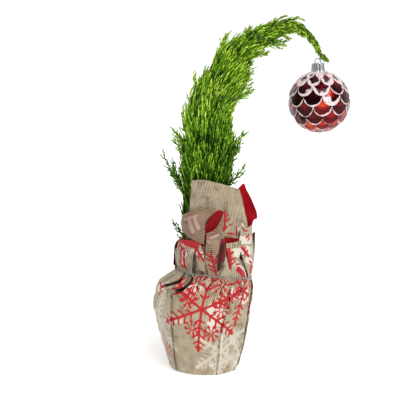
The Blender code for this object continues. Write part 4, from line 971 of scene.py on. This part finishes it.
def beside_trunk(places):
    """World points from an array of (mm along the trunk, two offsets across it in mm)."""
    along = places[..., 0]
    i = np.clip(np.floor(along).astype(int), 0, TRUNK_LENGTH_MM)
    rise = LINE_ALONG[i] * (along - i)[..., None]
    across = LINE_OUT[i] * places[..., 1:2] + LINE_SIDE * places[..., 2:3]
    return LINE[i] + (rise + across) * MM


def bark_tube(name, node_name, places, radii):
    """Closed tube with ridged bark through places beside the trunk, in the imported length's stead."""
    count = len(places)
    way = unit(np.gradient(places, axis=0))
    across = unit(np.cross(way, LINE_SIDE))
    over = np.cross(across, way)
    rings = []
    for j in range(count):
        wander = 1.4 * noise.noise(Vector((j * 0.05, 3.0, 0.0)))
        ring = []
        for turn in np.arange(TRUNK_SIDES) * 2 * math.pi / TRUNK_SIDES:
            ridge = math.sin(BARK_RIDGES * turn + 4.0 * wander)
            knot = noise.noise(Vector((math.cos(turn), math.sin(turn), j * 0.12)) * 1.7)
            radius = radii[j] * (1 + BARK_DEPTH * ridge + 1.3 * BARK_DEPTH * knot)
            ring.append(places[j] + (across[j] * math.cos(turn) + over[j] * math.sin(turn)) * radius)
        rings.append(ring)
    faces = [list(range(TRUNK_SIDES))[::-1], *grid_faces(count, TRUNK_SIDES)]
    faces.append([(count - 1) * TRUNK_SIDES + k for k in range(TRUNK_SIDES)])
    obj = mesh_object(name, np.array(rings), faces, [bark])
    face_outwards(obj)
    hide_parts(node_name)
    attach(obj, "root")


def make_trunk():
    for node_name, start, end in TRUNK_LENGTHS_MM:
        rings = max(4, round((end - start) / BARK_STEP_MM))
        along = np.linspace(start, end, rings)
        places = beside_trunk(np.stack([along, np.zeros(rings), np.zeros(rings)], axis=1))
        bark_tube(node_name + "_bark", node_name, places, read_table(TRUNK_RADIUS_MM, along) * MM)


def make_limb():
    share = np.linspace(0, 1, LIMB_RINGS)
    ends = zip(LIMB_FOOT_MM, LIMB_TIP_MM)
    along, away, radii = [first + (last - first) * share for first, last in ends]
    places = beside_trunk(np.stack([along, -away, 0 * share], axis=1))
    bark_tube("limb_left_bark", "limb_left", places, radii * MM)


bark = grained_material("cypress_bark", {"Roughness": 0.85, "Specular IOR Level": 0.3}, BARK_COLOURS,
                        "TexNoise", {"Scale": 1.0, "Detail": 4.0}, 0.0004, stretch=(900, 900, 120))
make_trunk()
make_limb()


# Foliage. Upright plumes of a lemon cypress: each is a thin stem with side twigs that hug it, and every
# twig is a cord of overlapping scale leaves. The plumes grow on from the trunk by the same rule as the
# solids, mass by mass. Each plume has one family of greens, and each cord its shade of it, darker with
# painted shade deep in the crown and lighter at the tips.

# Reach of the crown on its right or inner side, and on its left or outer side, along the trunk
CROWN_MM = ((0, 20, 20), (40, 26, 26), (100, 33, 34), (168, 32, 37), (190, 33.5, 40), (206, 37.5, 35),
            (220, 37, 31), (234, 31, 36), (252, 26.5, 31.5), (266, 30.5, 29), (288, 29, 30),
            (302, 33, 24.5), (316, 31, 23), (328, 24, 26), (342, 17.5, 19), (352, 16.5, 14),
            (362, 16.5, 16.5), (376, 13.5, 13), (396, 12, 10), (410, 11, 8), (424, 8.5, 5.5),
            (438, 7, 4), (456, 4.5, 3), (477, 3, 2.5))
CONE_RISE = 1.5
CROWN_AHEAD_MM = 40
# Lower and upper edge of each cone of foliage at the trunk's centre in mm, and its share of plumes
MASSES = ((25, 96, 27), (106, 159, 26), (160, 204, 21), (205, 247, 20), (248, 289, 17),
          (290, 334, 15), (335, 377, 13), (378, 417, 11), (418, 454, 8))
# Plumes: levels and lengths are shares, and the inner ones, darker with painted shade, come before the
# outer ones
PLUMES_PER_SHOOT = 12
PLUME_TURN = 137.5
PLUME_LEVELS = (-0.12, 0.78)
PLUME_ROOTS = ((0.34, 0.56), (0.50, 0.78))
PLUME_LENGTHS = (0.8, 1.25)
PLUME_LENGTH_MM = 9
PLUME_LENGTH_OF_REACH = 0.80
PLUME_SWING = 10
PLUME_TOP_MM = 473.0
PLUME_ENDS = ((0.50, 0.78), (0.74, 0.95))
PLUME_END_LESS_MM = 1.2
PLUME_OVERLAP_MM = 6
PLUME_FLARE = 0.35
TWIGS_PER_PLUME = 8
AXIS_RINGS = 10
TWIG_RINGS = 8
CORD_RADIUS_MM = 0.98
CORD_WAVE_MM = 0.9
CORD_TEETH = (1.55, 0.8)
SPRIG_TWIGLETS = 4
SPRIG_TWIGLET_MM = 9.0
# How far twigs spread from their stem, in degrees: on plumes, on loose sprigs, and twiglets on those
TWIG_SPREADS = ((6, 16), (12, 28), (24, 46))
# Longer plumes that break the outline: mm along the trunk, mm out, azimuth round it
LONG_PLUMES = ((225, 47, 0), (213, 42.5, 8), (181, 48, 354), (225, 45, 186), (212, 45, 196),
               (106, 44, 186), (286, 38, 180), (264, 32, 176), (246, 36, 184), (340, 29, 180),
               (363, 18, 180), (404, 13, 178), (420, 12, 182), (365, 22, 2), (392, 24, 0), (410, 18, 3),
               (326, 30, 0), (311, 31, 6), (300, 39.5, 0), (307, 37, 12), (297, 37, 350),
               (396, 20, 355), (384, 17, 5), (336, 27, 182), (230, 34, 178), (204, 40, 4))
LONG_PLUME_MM = 30
# Colour: which family of greens a plume has, by luck and by rank (inner, outer, loose sprig), the inner
# ones darker as painted shade; then the luck of each cord's shade, and how much painted shade darkens the
# leaves at each place along the trunk, most at the foot
GREEN_LUCK = (0.6, 0.75)
RANK_GREENS = (-0.9, 0.0, 0.4)
SHADE_LUCK = (-0.9, 0.7)
SHADE_LIFT = ((150, -1.2), (190, -1.15), (218, -0.68), (320, -0.7), (360, -0.86), (460, -0.92))
# Families of greens from the plant's foot to its yellower tip, the foot's darker as painted shade; each
# runs from a dark green, painted shade deep inside, to a light green at the edge, partly real new growth
# and partly painted light
GREENS = (("#0B1E02", "#1F3C05", "#3D650E", "#6D982B"), ("#122703", "#2F5208", "#578713", "#8BB437"),
          ("#193105", "#3E660C", "#6F9D1D", "#A3C84A"), ("#203A06", "#507410", "#86AF28", "#BADA5D"),
          ("#2B4609", "#638317", "#9DBD39", "#D0E674"))
SEED = 11


def leaf_material(name, code):
    """Scale leaves: a thin waxy cuticle, so a soft low gloss and no bloom."""
    material, tree, shader = new_material(name, {"Roughness": 0.65, "Specular IOR Level": 0.12})
    place = add_node(tree, "TexCoord", {})
    grain = add_node(tree, "TexNoise", {"Vector": place.outputs["Object"], "Scale": 700.0})
    lift = add_node(tree, "MapRange", {"Value": grain.outputs["Fac"], "To Min": 0.7, "To Max": 1.3})
    tone = add_node(tree, "HueSaturation", {"Color": colour(code), "Value": lift.outputs[0]})
    tree.links.new(tone.outputs[0], shader.inputs["Base Color"])
    return material


def cords(lines, radii, phases):
    """Points and faces of many toothed cords with a pointed tip, from (count, rings, 3) places."""
    count, rings, _ = lines.shape
    centres = beside_trunk(lines)
    way = np.gradient(centres, axis=1)
    way /= np.maximum(np.linalg.norm(way, axis=2), 1e-9)[..., None]
    across = np.cross(way, np.array([0.31, 0.87, 0.38]))
    across /= np.maximum(np.linalg.norm(across, axis=2), 1e-9)[..., None]
    over = np.cross(across, way)
    body = rings - 1
    k = np.arange(3)
    turn = phases[:, None, None] + 2 * math.pi * k[None, None, :] / 3
    teeth = np.where((np.arange(body)[:, None] + k[None, :]) % 3 == 0, *CORD_TEETH)
    reach = radii[:, :body, None] * teeth[None] * MM
    lean = way[:, :body, None, :] * (0.9 * (reach - 0.75 * radii[:, :body, None] * MM))[..., None]
    ring = (centres[:, :body, None, :] + lean
            + (across[:, :body, None, :] * np.cos(turn)[..., None]
               + over[:, :body, None, :] * np.sin(turn)[..., None]) * reach[..., None])
    points = np.concatenate([ring.reshape(count, body * 3, 3), centres[:, body:, :]], axis=1)
    faces = [(2, 1, 0)]
    part = [0]
    for j in range(body - 1):
        for a in range(3):
            b = (a + 1) % 3
            faces.append((j * 3 + a, j * 3 + b, j * 3 + 3 + b))
            faces.append((j * 3 + a, j * 3 + 3 + b, j * 3 + 3 + a))
            part += [j, j]
    last = (body - 1) * 3
    for a in range(3):
        faces.append((last + a, last + (a + 1) % 3, body * 3))
        part.append(body - 1)
    size = body * 3 + 1
    all_faces = (np.array(faces)[None] + (np.arange(count) * size)[:, None, None]).reshape(-1, 3)
    return points.reshape(-1, 3), all_faces, np.tile(np.array(part) / max(1, body - 1), count)


def plume_axis(foot, tip, azimuth, swing, rings):
    """Places along a plume's stem, which leans out at first and then rises."""
    share = np.linspace(0, 1, rings)
    along = foot[0] + (tip[0] - foot[0]) * share
    away = foot[1] + (tip[1] - foot[1]) * share * (1 + PLUME_FLARE - PLUME_FLARE * share)
    angle = np.radians(azimuth + swing * share)
    return np.stack([along, away * np.cos(angle), away * np.sin(angle)], axis=1)


def crown_reach(place, azimuth):
    """Reach of the crown in mm at a place along the trunk, on one side of it."""
    inner = read_table(CROWN_MM, place)
    outer = read_table(CROWN_MM, place, 2)
    return float((inner + outer) / 2 + (inner - outer) / 2 * math.cos(math.radians(azimuth)))


def twigs_on(axis, rng, count, length, thickness, spreads):
    """Side twigs of a stem as lines and radii: each leaves at a narrow angle and turns along it."""
    lines = []
    radii = []
    way = axis[-1] - axis[0]
    way = way / np.linalg.norm(way)
    side = np.cross(way, [0.3, 0.5, 0.8])
    side /= np.linalg.norm(side)
    third = np.cross(way, side)
    turn = rng.uniform(0, 6.28)
    steps = np.linspace(0, 1, TWIG_RINGS + 1)[:, None]
    for t in range(count):
        share = 0.04 + 0.80 * t / (count - 1) + rng.uniform(-0.03, 0.03)
        spot = max(share, 0.0) * (len(axis) - 1)
        i = min(int(spot), len(axis) - 2)
        root = axis[i] + (axis[i + 1] - axis[i]) * (spot - i)
        heading = axis[i + 1] - axis[i]
        heading = heading / np.linalg.norm(heading)
        turn += 2.4 + rng.uniform(-0.4, 0.4)
        away = side * math.cos(turn) + third * math.sin(turn)
        reach = min(length * (0.80 - 0.46 * share), 25.0) * rng.uniform(0.72, 1.2)
        spread = math.radians(rng.uniform(*spreads))
        bend = steps * (1.7 - 0.7 * steps)
        wave = np.sin(steps * rng.uniform(4, 8) + rng.uniform(0, 6))
        wave = CORD_WAVE_MM * min(1.0, reach / 14) * wave * steps
        across = np.cross(heading, away)
        lines.append(root + heading * reach * math.cos(spread) * steps
                     + away * reach * math.sin(spread) * bend + across * wave)
        radii.append(thickness * (1 - 0.35 * steps[:, 0]))
    return lines, radii


def grow(rng, start, end, shoots):
    """Plume stems of one mass between its two cones: inner, painted-shade ones, then the ones that show.
    """
    stems = []
    turn = rng.uniform(0, 360)
    last = end == MASSES[-1][1]
    for n in range(shoots * PLUMES_PER_SHOOT):
        outer = n % 4 > 0
        azimuth = turn + PLUME_TURN * n + rng.uniform(-12, 12)
        level = start + (end - start) * rng.uniform(*PLUME_LEVELS)
        reach = crown_reach(level + CROWN_AHEAD_MM, azimuth)
        out = reach * rng.uniform(*PLUME_ROOTS[outer]) + 0.4
        along = level + CONE_RISE * out
        tip = along + rng.uniform(*PLUME_LENGTHS) * (PLUME_LENGTH_MM + PLUME_LENGTH_OF_REACH * reach)
        if last:
            tip = min(tip, PLUME_TOP_MM)
            along = min(along, tip - 6.0)
        tip_out = crown_reach(tip, azimuth) * rng.uniform(*PLUME_ENDS[outer])
        tip_out = max(tip_out - PLUME_END_LESS_MM, 0.5)
        tip = min(tip, end + PLUME_OVERLAP_MM + CONE_RISE * tip_out)
        swing = rng.uniform(-PLUME_SWING, PLUME_SWING)
        stems.append(((along, out), (tip, tip_out), azimuth, swing, int(outer)))
    for tip, tip_out, azimuth in LONG_PLUMES:
        cone = tip - CONE_RISE * tip_out
        if start - 4 <= cone < end + 4:
            away = tip_out * 0.45
            foot = tip - LONG_PLUME_MM * min(1.0, 0.3 + tip_out / 40)
            stems.append(((foot, away), (tip, tip_out), azimuth, 0.0, 2))
    return stems


def add_cords(cord_lists, lines, radii, green):
    cord_lists[0] += lines
    cord_lists[1] += radii
    cord_lists[2] += [green] * len(lines)


def build_foliage(name, stems, rng, thickness=1.0):
    """Joins the plumes of one mass into a piece, and their wooden stems into another."""
    # Stems, side twigs and twiglets, each as lines, radii and families of greens
    stem_cords, side_cords, short_cords = [[], [], []], [[], [], []], [[], [], []]
    wood_lines = []
    share = np.linspace(0, 1, AXIS_RINGS)
    for foot, tip, azimuth, swing, rank in stems:
        sprig = rank == 2
        axis = plume_axis(foot, tip, azimuth, swing, AXIS_RINGS)
        length = np.linalg.norm(axis[-1] - axis[0])
        # Families rise with height: yellower toward the top, painted shade at the foot, past the arch
        # partly painted light
        height = np.clip((foot[0] - 60) / 230, 0, 1) * 2.6 + np.clip((foot[0] - 370) / 60, 0, 1) * 0.9
        green = round(height + rng.gauss(*GREEN_LUCK) + RANK_GREENS[rank])
        green = int(np.clip(green, 0, len(GREENS) - 1))
        add_cords(stem_cords, [axis], [CORD_RADIUS_MM * thickness * (1.12 - 0.42 * share)], green)
        count = max(4, round(TWIGS_PER_PLUME * min(1.0, length / 30)))
        lines, radii = twigs_on(axis, rng, count, length * (0.55 if sprig else 1.0),
                                CORD_RADIUS_MM * thickness, TWIG_SPREADS[sprig])
        add_cords(side_cords, lines, radii, green)
        if sprig:
            for line in [axis] + lines:
                size = np.linalg.norm(line[-1] - line[0])
                more, radii = twigs_on(line, rng, SPRIG_TWIGLETS, min(0.5 * size, SPRIG_TWIGLET_MM),
                                       0.8 * thickness, TWIG_SPREADS[2])
                add_cords(short_cords, more, radii, green)
        bark_out = float(read_table(TRUNK_RADIUS_MM, foot[0])) * 0.8
        low = foot[0] - CONE_RISE * 0.9 * (foot[1] - bark_out)
        if foot[1] > bark_out + 2:
            wood_lines.append(plume_axis((low, bark_out), foot, azimuth, 0, AXIS_RINGS))
    all_points, all_faces, all_index = [], [], []
    first = 0
    for lines, radii, greens in (stem_cords, side_cords, short_cords):
        if not lines:
            continue
        lines = np.array(lines)
        phases = np.array([rng.uniform(0, 6.28) for _ in range(len(lines))])
        points, faces, part = cords(lines, np.array(radii), phases)
        per_cord = len(faces) // len(lines)
        along = np.repeat(lines[:, lines.shape[1] // 2, 0], per_cord)
        away = np.repeat(np.hypot(lines[:, -1, 1], lines[:, -1, 2]), per_cord) * (0.72 + 0.28 * part)
        reach = read_table([(place, (inner + outer) / 2) for place, inner, outer in CROWN_MM], along)
        depth = np.clip(away / np.maximum(reach, 2), 0, 1)
        luck = np.repeat(np.array([rng.uniform(*SHADE_LUCK) for _ in range(len(lines))]), per_cord)
        lift = read_table(SHADE_LIFT, along)
        # Shade of each cord: painted shade deep in the crown and at its base, lighter toward its tip,
        # with luck
        shade = np.clip((part * 1.2 + depth * 2.5 + lift + luck).astype(int), 0, 3)
        all_index.append(np.repeat(np.array(greens), per_cord) * 4 + shade)
        all_points.append(points)
        all_faces.append(faces + first)
        first += len(points)
    leaves = mesh_object(name + "_plumes", np.concatenate(all_points), np.concatenate(all_faces).tolist(),
                         leaf_greens, np.concatenate(all_index), smooth=False)
    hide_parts(name)
    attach(leaves, "root")
    if wood_lines:
        lines = np.array(wood_lines)
        radii = np.tile(np.linspace(0.8, 0.45, AXIS_RINGS), (len(lines), 1))
        points, faces, _ = cords(lines, radii, np.zeros(len(lines)))
        wood = mesh_object(name + "_twigs", points, faces.tolist(), [bark])
        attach(wood, "root")


leaf_greens = [leaf_material("cypress_green_%d_%d" % (g, s), code)
               for g, family in enumerate(GREENS) for s, code in enumerate(family)]
rng = random.Random(SEED)
for number, (start, end, shoots) in enumerate(MASSES):
    build_foliage("foliage_%d" % (number + 1), grow(rng, start, end, shoots), rng)


# Loose sprays. The low limb carries open sprays that stand clear on the left, and the leader ends
# in a small tuft that stands past the bauble's loop.
# Plumes: foot and tip, each as mm along the trunk and mm out, and azimuth in degrees
LEFT_PLUMES_MM = ((150, 33, 186, 46, 176), (158.5, 38.3, 195, 59, 180), (152, 34, 178, 47, 190),
                  (163, 41, 174, 50, 186), (140, 26, 168, 41, 172), (128, 18, 156, 36, 182),
                  (136, 23, 160, 42, 184), (116, 10, 146, 31, 190), (150, 33, 168, 48, 180))
TIP_PLUMES_MM = ((466.0, 0.2, 476.8, 0.8, 180), (467, 0.3, 475.4, 3.0, 165), (467, 0.4, 476.0, 3.2, 205),
                 (468.5, 0.3, 474.8, 2.5, 250), (468.8, 0.3, 474.4, 2.5, 120), (462, 0.8, 471, 3.4, 190),
                 (460, 0.9, 469, 3.6, 30), (461, 0.8, 470, 3.4, 330), (456, 1.0, 466, 3.2, 100),
                 (457, 1.0, 467, 3.2, 270), (464, 0.7, 473, 2.8, 60), (465, 0.7, 473, 2.6, 300))
# Node, plumes and thickness of their cords
SPRAYS = (("foliage_left", LEFT_PLUMES_MM, 0.8), ("foliage_tip", TIP_PLUMES_MM, 0.75))

for name, plumes, thickness in SPRAYS:
    stems = [((a, b), (c, d), azimuth, 0.0, 2) for a, b, c, d, azimuth in plumes]
    build_foliage(name, stems, rng, thickness)


# Binding wire. Thin steel wire in dark green plastic is wound round the arch where the leader was
# trained over, and it also ties the bauble's loop to the tip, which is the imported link.
# Place along the trunk, how far it slants, and share of the crown's reach
BINDINGS = ((271, 0.28, 0.90), (366, 0.85, 0.86), (416, 0.9, 0.84), (437, 0.5, 0.84))
BINDING_RADIUS_MM = 0.55
BINDING_STEPS = 72
BINDING_SIDES = 8
WIRE_COLOURS = ("#12281F", "#24463A")


def binding_ring(place, slant, share):
    """Closed ring of wire round the foliage, as points and faces."""
    turns = np.linspace(0, 2 * math.pi, BINDING_STEPS + 1)[:-1]
    reach = np.array([crown_reach(place, math.degrees(turn)) for turn in turns]) * share
    across = reach * np.cos(turns)
    centres = beside_trunk(np.stack([place + slant * across, across, reach * np.sin(turns)], axis=1)) / MM
    way = unit(np.roll(centres, -1, axis=0) - np.roll(centres, 1, axis=0))
    side = unit(np.cross(way, centres - centres.mean(axis=0)))
    over = np.cross(side, way)
    k = (np.arange(BINDING_SIDES) * 2 * math.pi / BINDING_SIDES)[None, :, None]
    ring = centres[:, None] + BINDING_RADIUS_MM * (side[:, None] * np.cos(k) + over[:, None] * np.sin(k))
    return ring * MM, grid_faces(BINDING_STEPS, BINDING_SIDES, closed_rows=True)


# Smooth PVC over steel, a little glossy, with faint scuffs
green_wire = grained_material("green_pvc_wire", {"Roughness": 0.4, "Specular IOR Level": 0.4},
                              WIRE_COLOURS, "TexNoise", {"Scale": 800.0})
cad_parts["tie_wire"].data.materials[0] = green_wire
for number, (place, slant, share) in enumerate(BINDINGS):
    points, faces = binding_ring(place, slant, share)
    ring = mesh_object("binding_%d" % (number + 1), points, faces, [green_wire])
    face_outwards(ring)
    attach(ring, "root")


# Bauble. A blown plastic ball, lacquered metallic red over moulded fish scales, each rimmed with
# white glitter that thickens to frost at the top and the bottom.
# The lacquer is lifted from dark red toward orange by painted reflections: at random scale by scale, as a
# painted highlight along the top of each scale under the rim above, and low on the ball.
BALL_CENTRE_MM = (145.9, 0.0, 349.8)
BALL_TILT = 3.0
BALL_RADIUS_MM = 38.5
BALL_COLUMNS = 336
BALL_ROWS = 176
SCALES_ROUND = 10
SCALE_PITCH_MM = 13.0
SCALE_CUSP_MM = 0.5
SCALE_DEPTH_MM = 12.5
SCALE_RELIEF_MM = 0.95
RIM_WIDTH_MM = 2.4
RIM_RELIEF_MM = 0.45
# By latitude in radians: how much wider the glitter rims are, and how much painted reflection lightens
# the lacquer
RIM_BY_LATITUDE = ((-1.2, 0.9), (-0.5, 0.65), (0.0, 1.0), (0.35, 1.6), (0.8, 3.0), (1.2, 4.2))
REFLECTION_BY_LATITUDE = ((-0.9, 0.45), (-0.4, 0.0))
LUMPS_PER_M = 75.0
GRAINS_PER_M = 190.0
LACQUER_AND_REFLECTION_COLOURS = ("#2B0209", "#52050F", "#A3180F", "#E0552A")
# Places of the middle two in the range of tones
LACQUER_PLACES = (0.45, 0.8)
GLITTER_COLOURS = ("#F4EDED", "#CFAFB1")


def lacquer_material():
    """Vacuum-metallised plastic under clear red lacquer, so mirror-like and deep; glitter is rough."""
    clear = {"Coat Weight": 0.2, "Coat Roughness": 0.12}
    material, tree, shader = new_material("red_metallic_lacquer", clear)
    place = add_node(tree, "TexCoord", {})
    tone = add_node(tree, "Attribute", {"attribute_name": "scale_tone_and_reflection"})
    frost = add_node(tree, "Attribute", {"attribute_name": "frost"})
    grit = add_node(tree, "TexVoronoi", {"Vector": place.outputs["Object"], "Scale": 1100.0})
    # Dark red lacquer at low tone, orange painted reflection at high tone
    ramp = add_node(tree, "ValToRGB", {"Fac": tone.outputs["Fac"]})
    stops = ramp.color_ramp.elements
    stops[0].color = colour(LACQUER_AND_REFLECTION_COLOURS[0])
    stops[1].color = colour(LACQUER_AND_REFLECTION_COLOURS[-1])
    for place_on, code in zip(LACQUER_PLACES, LACQUER_AND_REFLECTION_COLOURS[1:]):
        stops.new(place_on).color = colour(code)
    glitter = add_node(tree, "Mix", {"data_type": "RGBA", 0: grit.outputs["Color"],
                                     6: colour(GLITTER_COLOURS[0]), 7: colour(GLITTER_COLOURS[1])})
    speck = add_node(tree, "Math", {"operation": "MULTIPLY_ADD", 0: grit.outputs["Distance"], 1: -0.3,
                                    2: frost.outputs["Fac"]})
    cover = add_node(tree, "MapRange", {"Value": speck.outputs[0], "From Min": 0.25, "From Max": 0.4})
    base = add_node(tree, "Mix", {"data_type": "RGBA", 0: cover.outputs[0], 6: ramp.outputs["Color"],
                                  7: glitter.outputs[2]})
    rough = add_node(tree, "MapRange", {"Value": cover.outputs[0], "To Min": 0.22, "To Max": 0.6})
    metal = add_node(tree, "MapRange", {"Value": cover.outputs[0], "To Min": 0.95, "To Max": 0.0})
    height = add_node(tree, "MapRange", {"Value": cover.outputs[0], "To Min": 0.12, "To Max": 1.0})
    grain = add_node(tree, "Math", {"operation": "MULTIPLY", 0: grit.outputs["Distance"],
                                    1: height.outputs[0]})
    bump = add_node(tree, "Bump", {"Height": grain.outputs[0], "Distance": 0.0008})
    tree.links.new(base.outputs[2], shader.inputs["Base Color"])
    tree.links.new(rough.outputs[0], shader.inputs["Roughness"])
    tree.links.new(metal.outputs[0], shader.inputs["Metallic"])
    tree.links.new(bump.outputs["Normal"], shader.inputs["Normal"])
    return material


def on_ball(latitude, longitude, radius):
    """World points in metres from angles about the bauble's own tilted axis and radii in mm."""
    tilt = math.radians(BALL_TILT)
    axis = np.array([-math.sin(tilt), 0.0, math.cos(tilt)])
    across = np.array([math.cos(tilt), 0.0, math.sin(tilt)])
    back = np.array([0.0, 1.0, 0.0])
    flat = (radius * np.cos(latitude))[..., None]
    points = (across * np.cos(longitude)[..., None] + back * np.sin(longitude)[..., None]) * flat
    points = points + axis * (radius * np.sin(latitude))[..., None]
    return (points + np.array(BALL_CENTRE_MM)) * MM


def noise_at(points, scale):
    values = [noise.noise(Vector(point) * scale) for point in points.reshape(-1, 3)]
    return np.array(values).reshape(points.shape[:-1])


def make_ball():
    """Scales laid like roof tiles: each is highest at its round lower rim and slips under the last."""
    share = np.linspace(0, 1, BALL_ROWS + 1)
    latitude, longitude = np.meshgrid(math.pi / 2 - math.pi * share,
                                      np.arange(BALL_COLUMNS) * 2 * math.pi / BALL_COLUMNS, indexing="ij")
    down = (math.pi / 2 - latitude) * BALL_RADIUS_MM
    rows = math.ceil(math.pi * BALL_RADIUS_MM / SCALE_PITCH_MM) + 1
    depth = np.full(down.shape, 99.0)
    row_of = np.full(down.shape, rows)
    column_of = np.zeros(down.shape)
    for row in range(rows - 1, -2, -1):
        place = longitude / (2 * math.pi) * SCALES_ROUND + 0.5 * (row % 2)
        aside = 2 * (place - np.round(place))
        bow = SCALE_DEPTH_MM * np.sqrt(np.maximum(0, 1 - aside ** 2))
        edge = row * SCALE_PITCH_MM + SCALE_CUSP_MM + bow
        inside = down <= edge
        depth = np.where(inside, edge - down, depth)
        row_of = np.where(inside, row, row_of)
        column_of = np.where(inside, np.round(place) % SCALES_ROUND, column_of)
    rng_tones = np.random.default_rng(SEED)
    tones = 0.7 * rng_tones.beta(0.7, 2.2, (rows + 3, SCALES_ROUND))
    tilts = rng_tones.uniform(-1, 1, (rows + 3, SCALES_ROUND))
    row_index = row_of.astype(int) + 1
    column_index = column_of.astype(int)
    # Tone of each scale: a random painted reflection, a painted highlight near its top, painted
    # reflection low down
    tone = tones[row_index, column_index] + 0.45 * np.clip((depth - 8.0) / 5.0, 0, 1)
    tone += read_table(REFLECTION_BY_LATITUDE, latitude)
    place = longitude / (2 * math.pi) * SCALES_ROUND + 0.5 * (row_of % 2)
    aside = place - np.round(place)
    relief = SCALE_RELIEF_MM * np.clip(1 - depth / 12, 0, 1)
    relief += 0.5 * tilts[row_index, column_index] * aside
    relief += RIM_RELIEF_MM * np.exp(-((depth - 0.5 * RIM_WIDTH_MM) / (0.5 * RIM_WIDTH_MM)) ** 2)
    points = on_ball(latitude, longitude, BALL_RADIUS_MM + relief)
    amounts = 0.85 + 2.2 * rng_tones.uniform(0, 1, (rows + 3, SCALES_ROUND)) ** 4
    lumps = noise_at(points, LUMPS_PER_M)
    amount = amounts[row_index, column_index] * (1 + 0.9 * lumps)
    amount *= read_table(RIM_BY_LATITUDE, latitude)
    top = np.clip((latitude - 0.95) / 0.4, 0, 1)
    grain = noise_at(points, GRAINS_PER_M)
    frost = np.clip(1.0 - depth / (RIM_WIDTH_MM * amount) * 0.65 + 0.35 * grain + 0.5 * top, 0, 1)
    faces = grid_faces(BALL_ROWS + 1, BALL_COLUMNS, flip=True)
    obj = mesh_object("bauble_shell", points, faces, [lacquer_material()])
    for key, field in (("frost", frost), ("scale_tone_and_reflection", tone)):
        obj.data.attributes.new(key, "FLOAT", "POINT").data.foreach_set("value", field.ravel())
    select_only(obj)
    bpy.ops.object.mode_set(mode="EDIT")
    bpy.ops.mesh.select_all(action="SELECT")
    bpy.ops.mesh.remove_doubles(threshold=1e-6)
    bpy.ops.object.mode_set(mode="OBJECT")
    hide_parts("bauble")
    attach(obj, "root")


make_ball()


# Cap of the bauble. A fluted cup of silver-plated plastic pressed over the ball's neck, with a steel
# wire loop sprung into its top.
CAP_PROFILE_MM = ((7.4, 37.2), (8.75, 37.2), (9.0, 37.8), (8.7, 39.0), (8.3, 42.0), (7.9, 46.5),
                  (7.5, 48.4), (6.6, 49.1), (3.0, 49.3), (1.2, 49.9))
CAP_FLUTES = 9
CAP_FLUTE_MM = 1.0
CAP_FLUTE_MIDDLE = 0.6
CAP_PLAIN_MM = 7.0
CAP_COLUMNS = 144
# Height up the bauble's axis, radius and thickness of the loop
LOOP_MM = (51.2, 3.7, 0.5)
CAP_SMOOTH_ANGLE = 35
SILVER_COLOURS = ("#B9BCC2", "#E4E6EA")
STEEL_COLOURS = ("#5E6672", "#9AA3B0")


def ball_point(across_mm, back_mm, up_mm):
    """World point in metres from places along the bauble's own axes."""
    tilt = math.radians(BALL_TILT)
    axis = Vector((-math.sin(tilt), 0.0, math.cos(tilt)))
    across = Vector((math.cos(tilt), 0.0, math.sin(tilt)))
    back = Vector((0.0, 1.0, 0.0))
    return (Vector(BALL_CENTRE_MM) + across * across_mm + back * back_mm + axis * up_mm) * MM


def make_cap():
    """Fluted cup, open below, whose flutes die out on its flat top."""
    points = []
    for radius, height in CAP_PROFILE_MM:
        for angle in [2 * math.pi * c / CAP_COLUMNS for c in range(CAP_COLUMNS)]:
            flute = CAP_FLUTE_MM * (abs(math.sin(CAP_FLUTES * angle / 2)) - CAP_FLUTE_MIDDLE)
            away = radius + (flute if radius > CAP_PLAIN_MM else 0.0)
            points.append(ball_point(away * math.cos(angle), away * math.sin(angle), height))
    top = (len(CAP_PROFILE_MM) - 1) * CAP_COLUMNS
    faces = grid_faces(len(CAP_PROFILE_MM), CAP_COLUMNS)
    faces += [[top + c for c in range(CAP_COLUMNS)], list(range(CAP_COLUMNS))[::-1]]
    silver = grained_material("silver_plating", {"Metallic": 1.0, "Roughness": 0.3}, SILVER_COLOURS,
                              "TexNoise", {"Scale": 260.0})
    cap = mesh_object("bauble_cap_cup", np.array([list(p) for p in points]), faces, [silver])
    select_only(cap)
    bpy.ops.object.shade_smooth_by_angle(angle=math.radians(CAP_SMOOTH_ANGLE))
    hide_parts("bauble_cap")
    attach(cap, "root")


def make_loop():
    height, radius, wire = LOOP_MM
    tilt = math.radians(BALL_TILT)
    bpy.ops.object.select_all(action="DESELECT")
    bpy.ops.mesh.primitive_torus_add(location=ball_point(0, 0, height), rotation=(math.pi / 2, -tilt, 0),
                                     major_segments=48, minor_segments=12, major_radius=radius * MM,
                                     minor_radius=wire * MM)
    loop = bpy.context.object
    loop.name = "bauble_loop"
    bpy.ops.object.transform_apply(location=True, rotation=True, scale=True)
    bpy.ops.object.shade_smooth()
    steel = grained_material("steel_wire", {"Metallic": 1.0, "Roughness": 0.3}, STEEL_COLOURS,
                             "TexNoise", {"Scale": 1200.0})
    loop.data.materials.append(steel)
    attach(loop, "root")


make_cap()
make_loop()
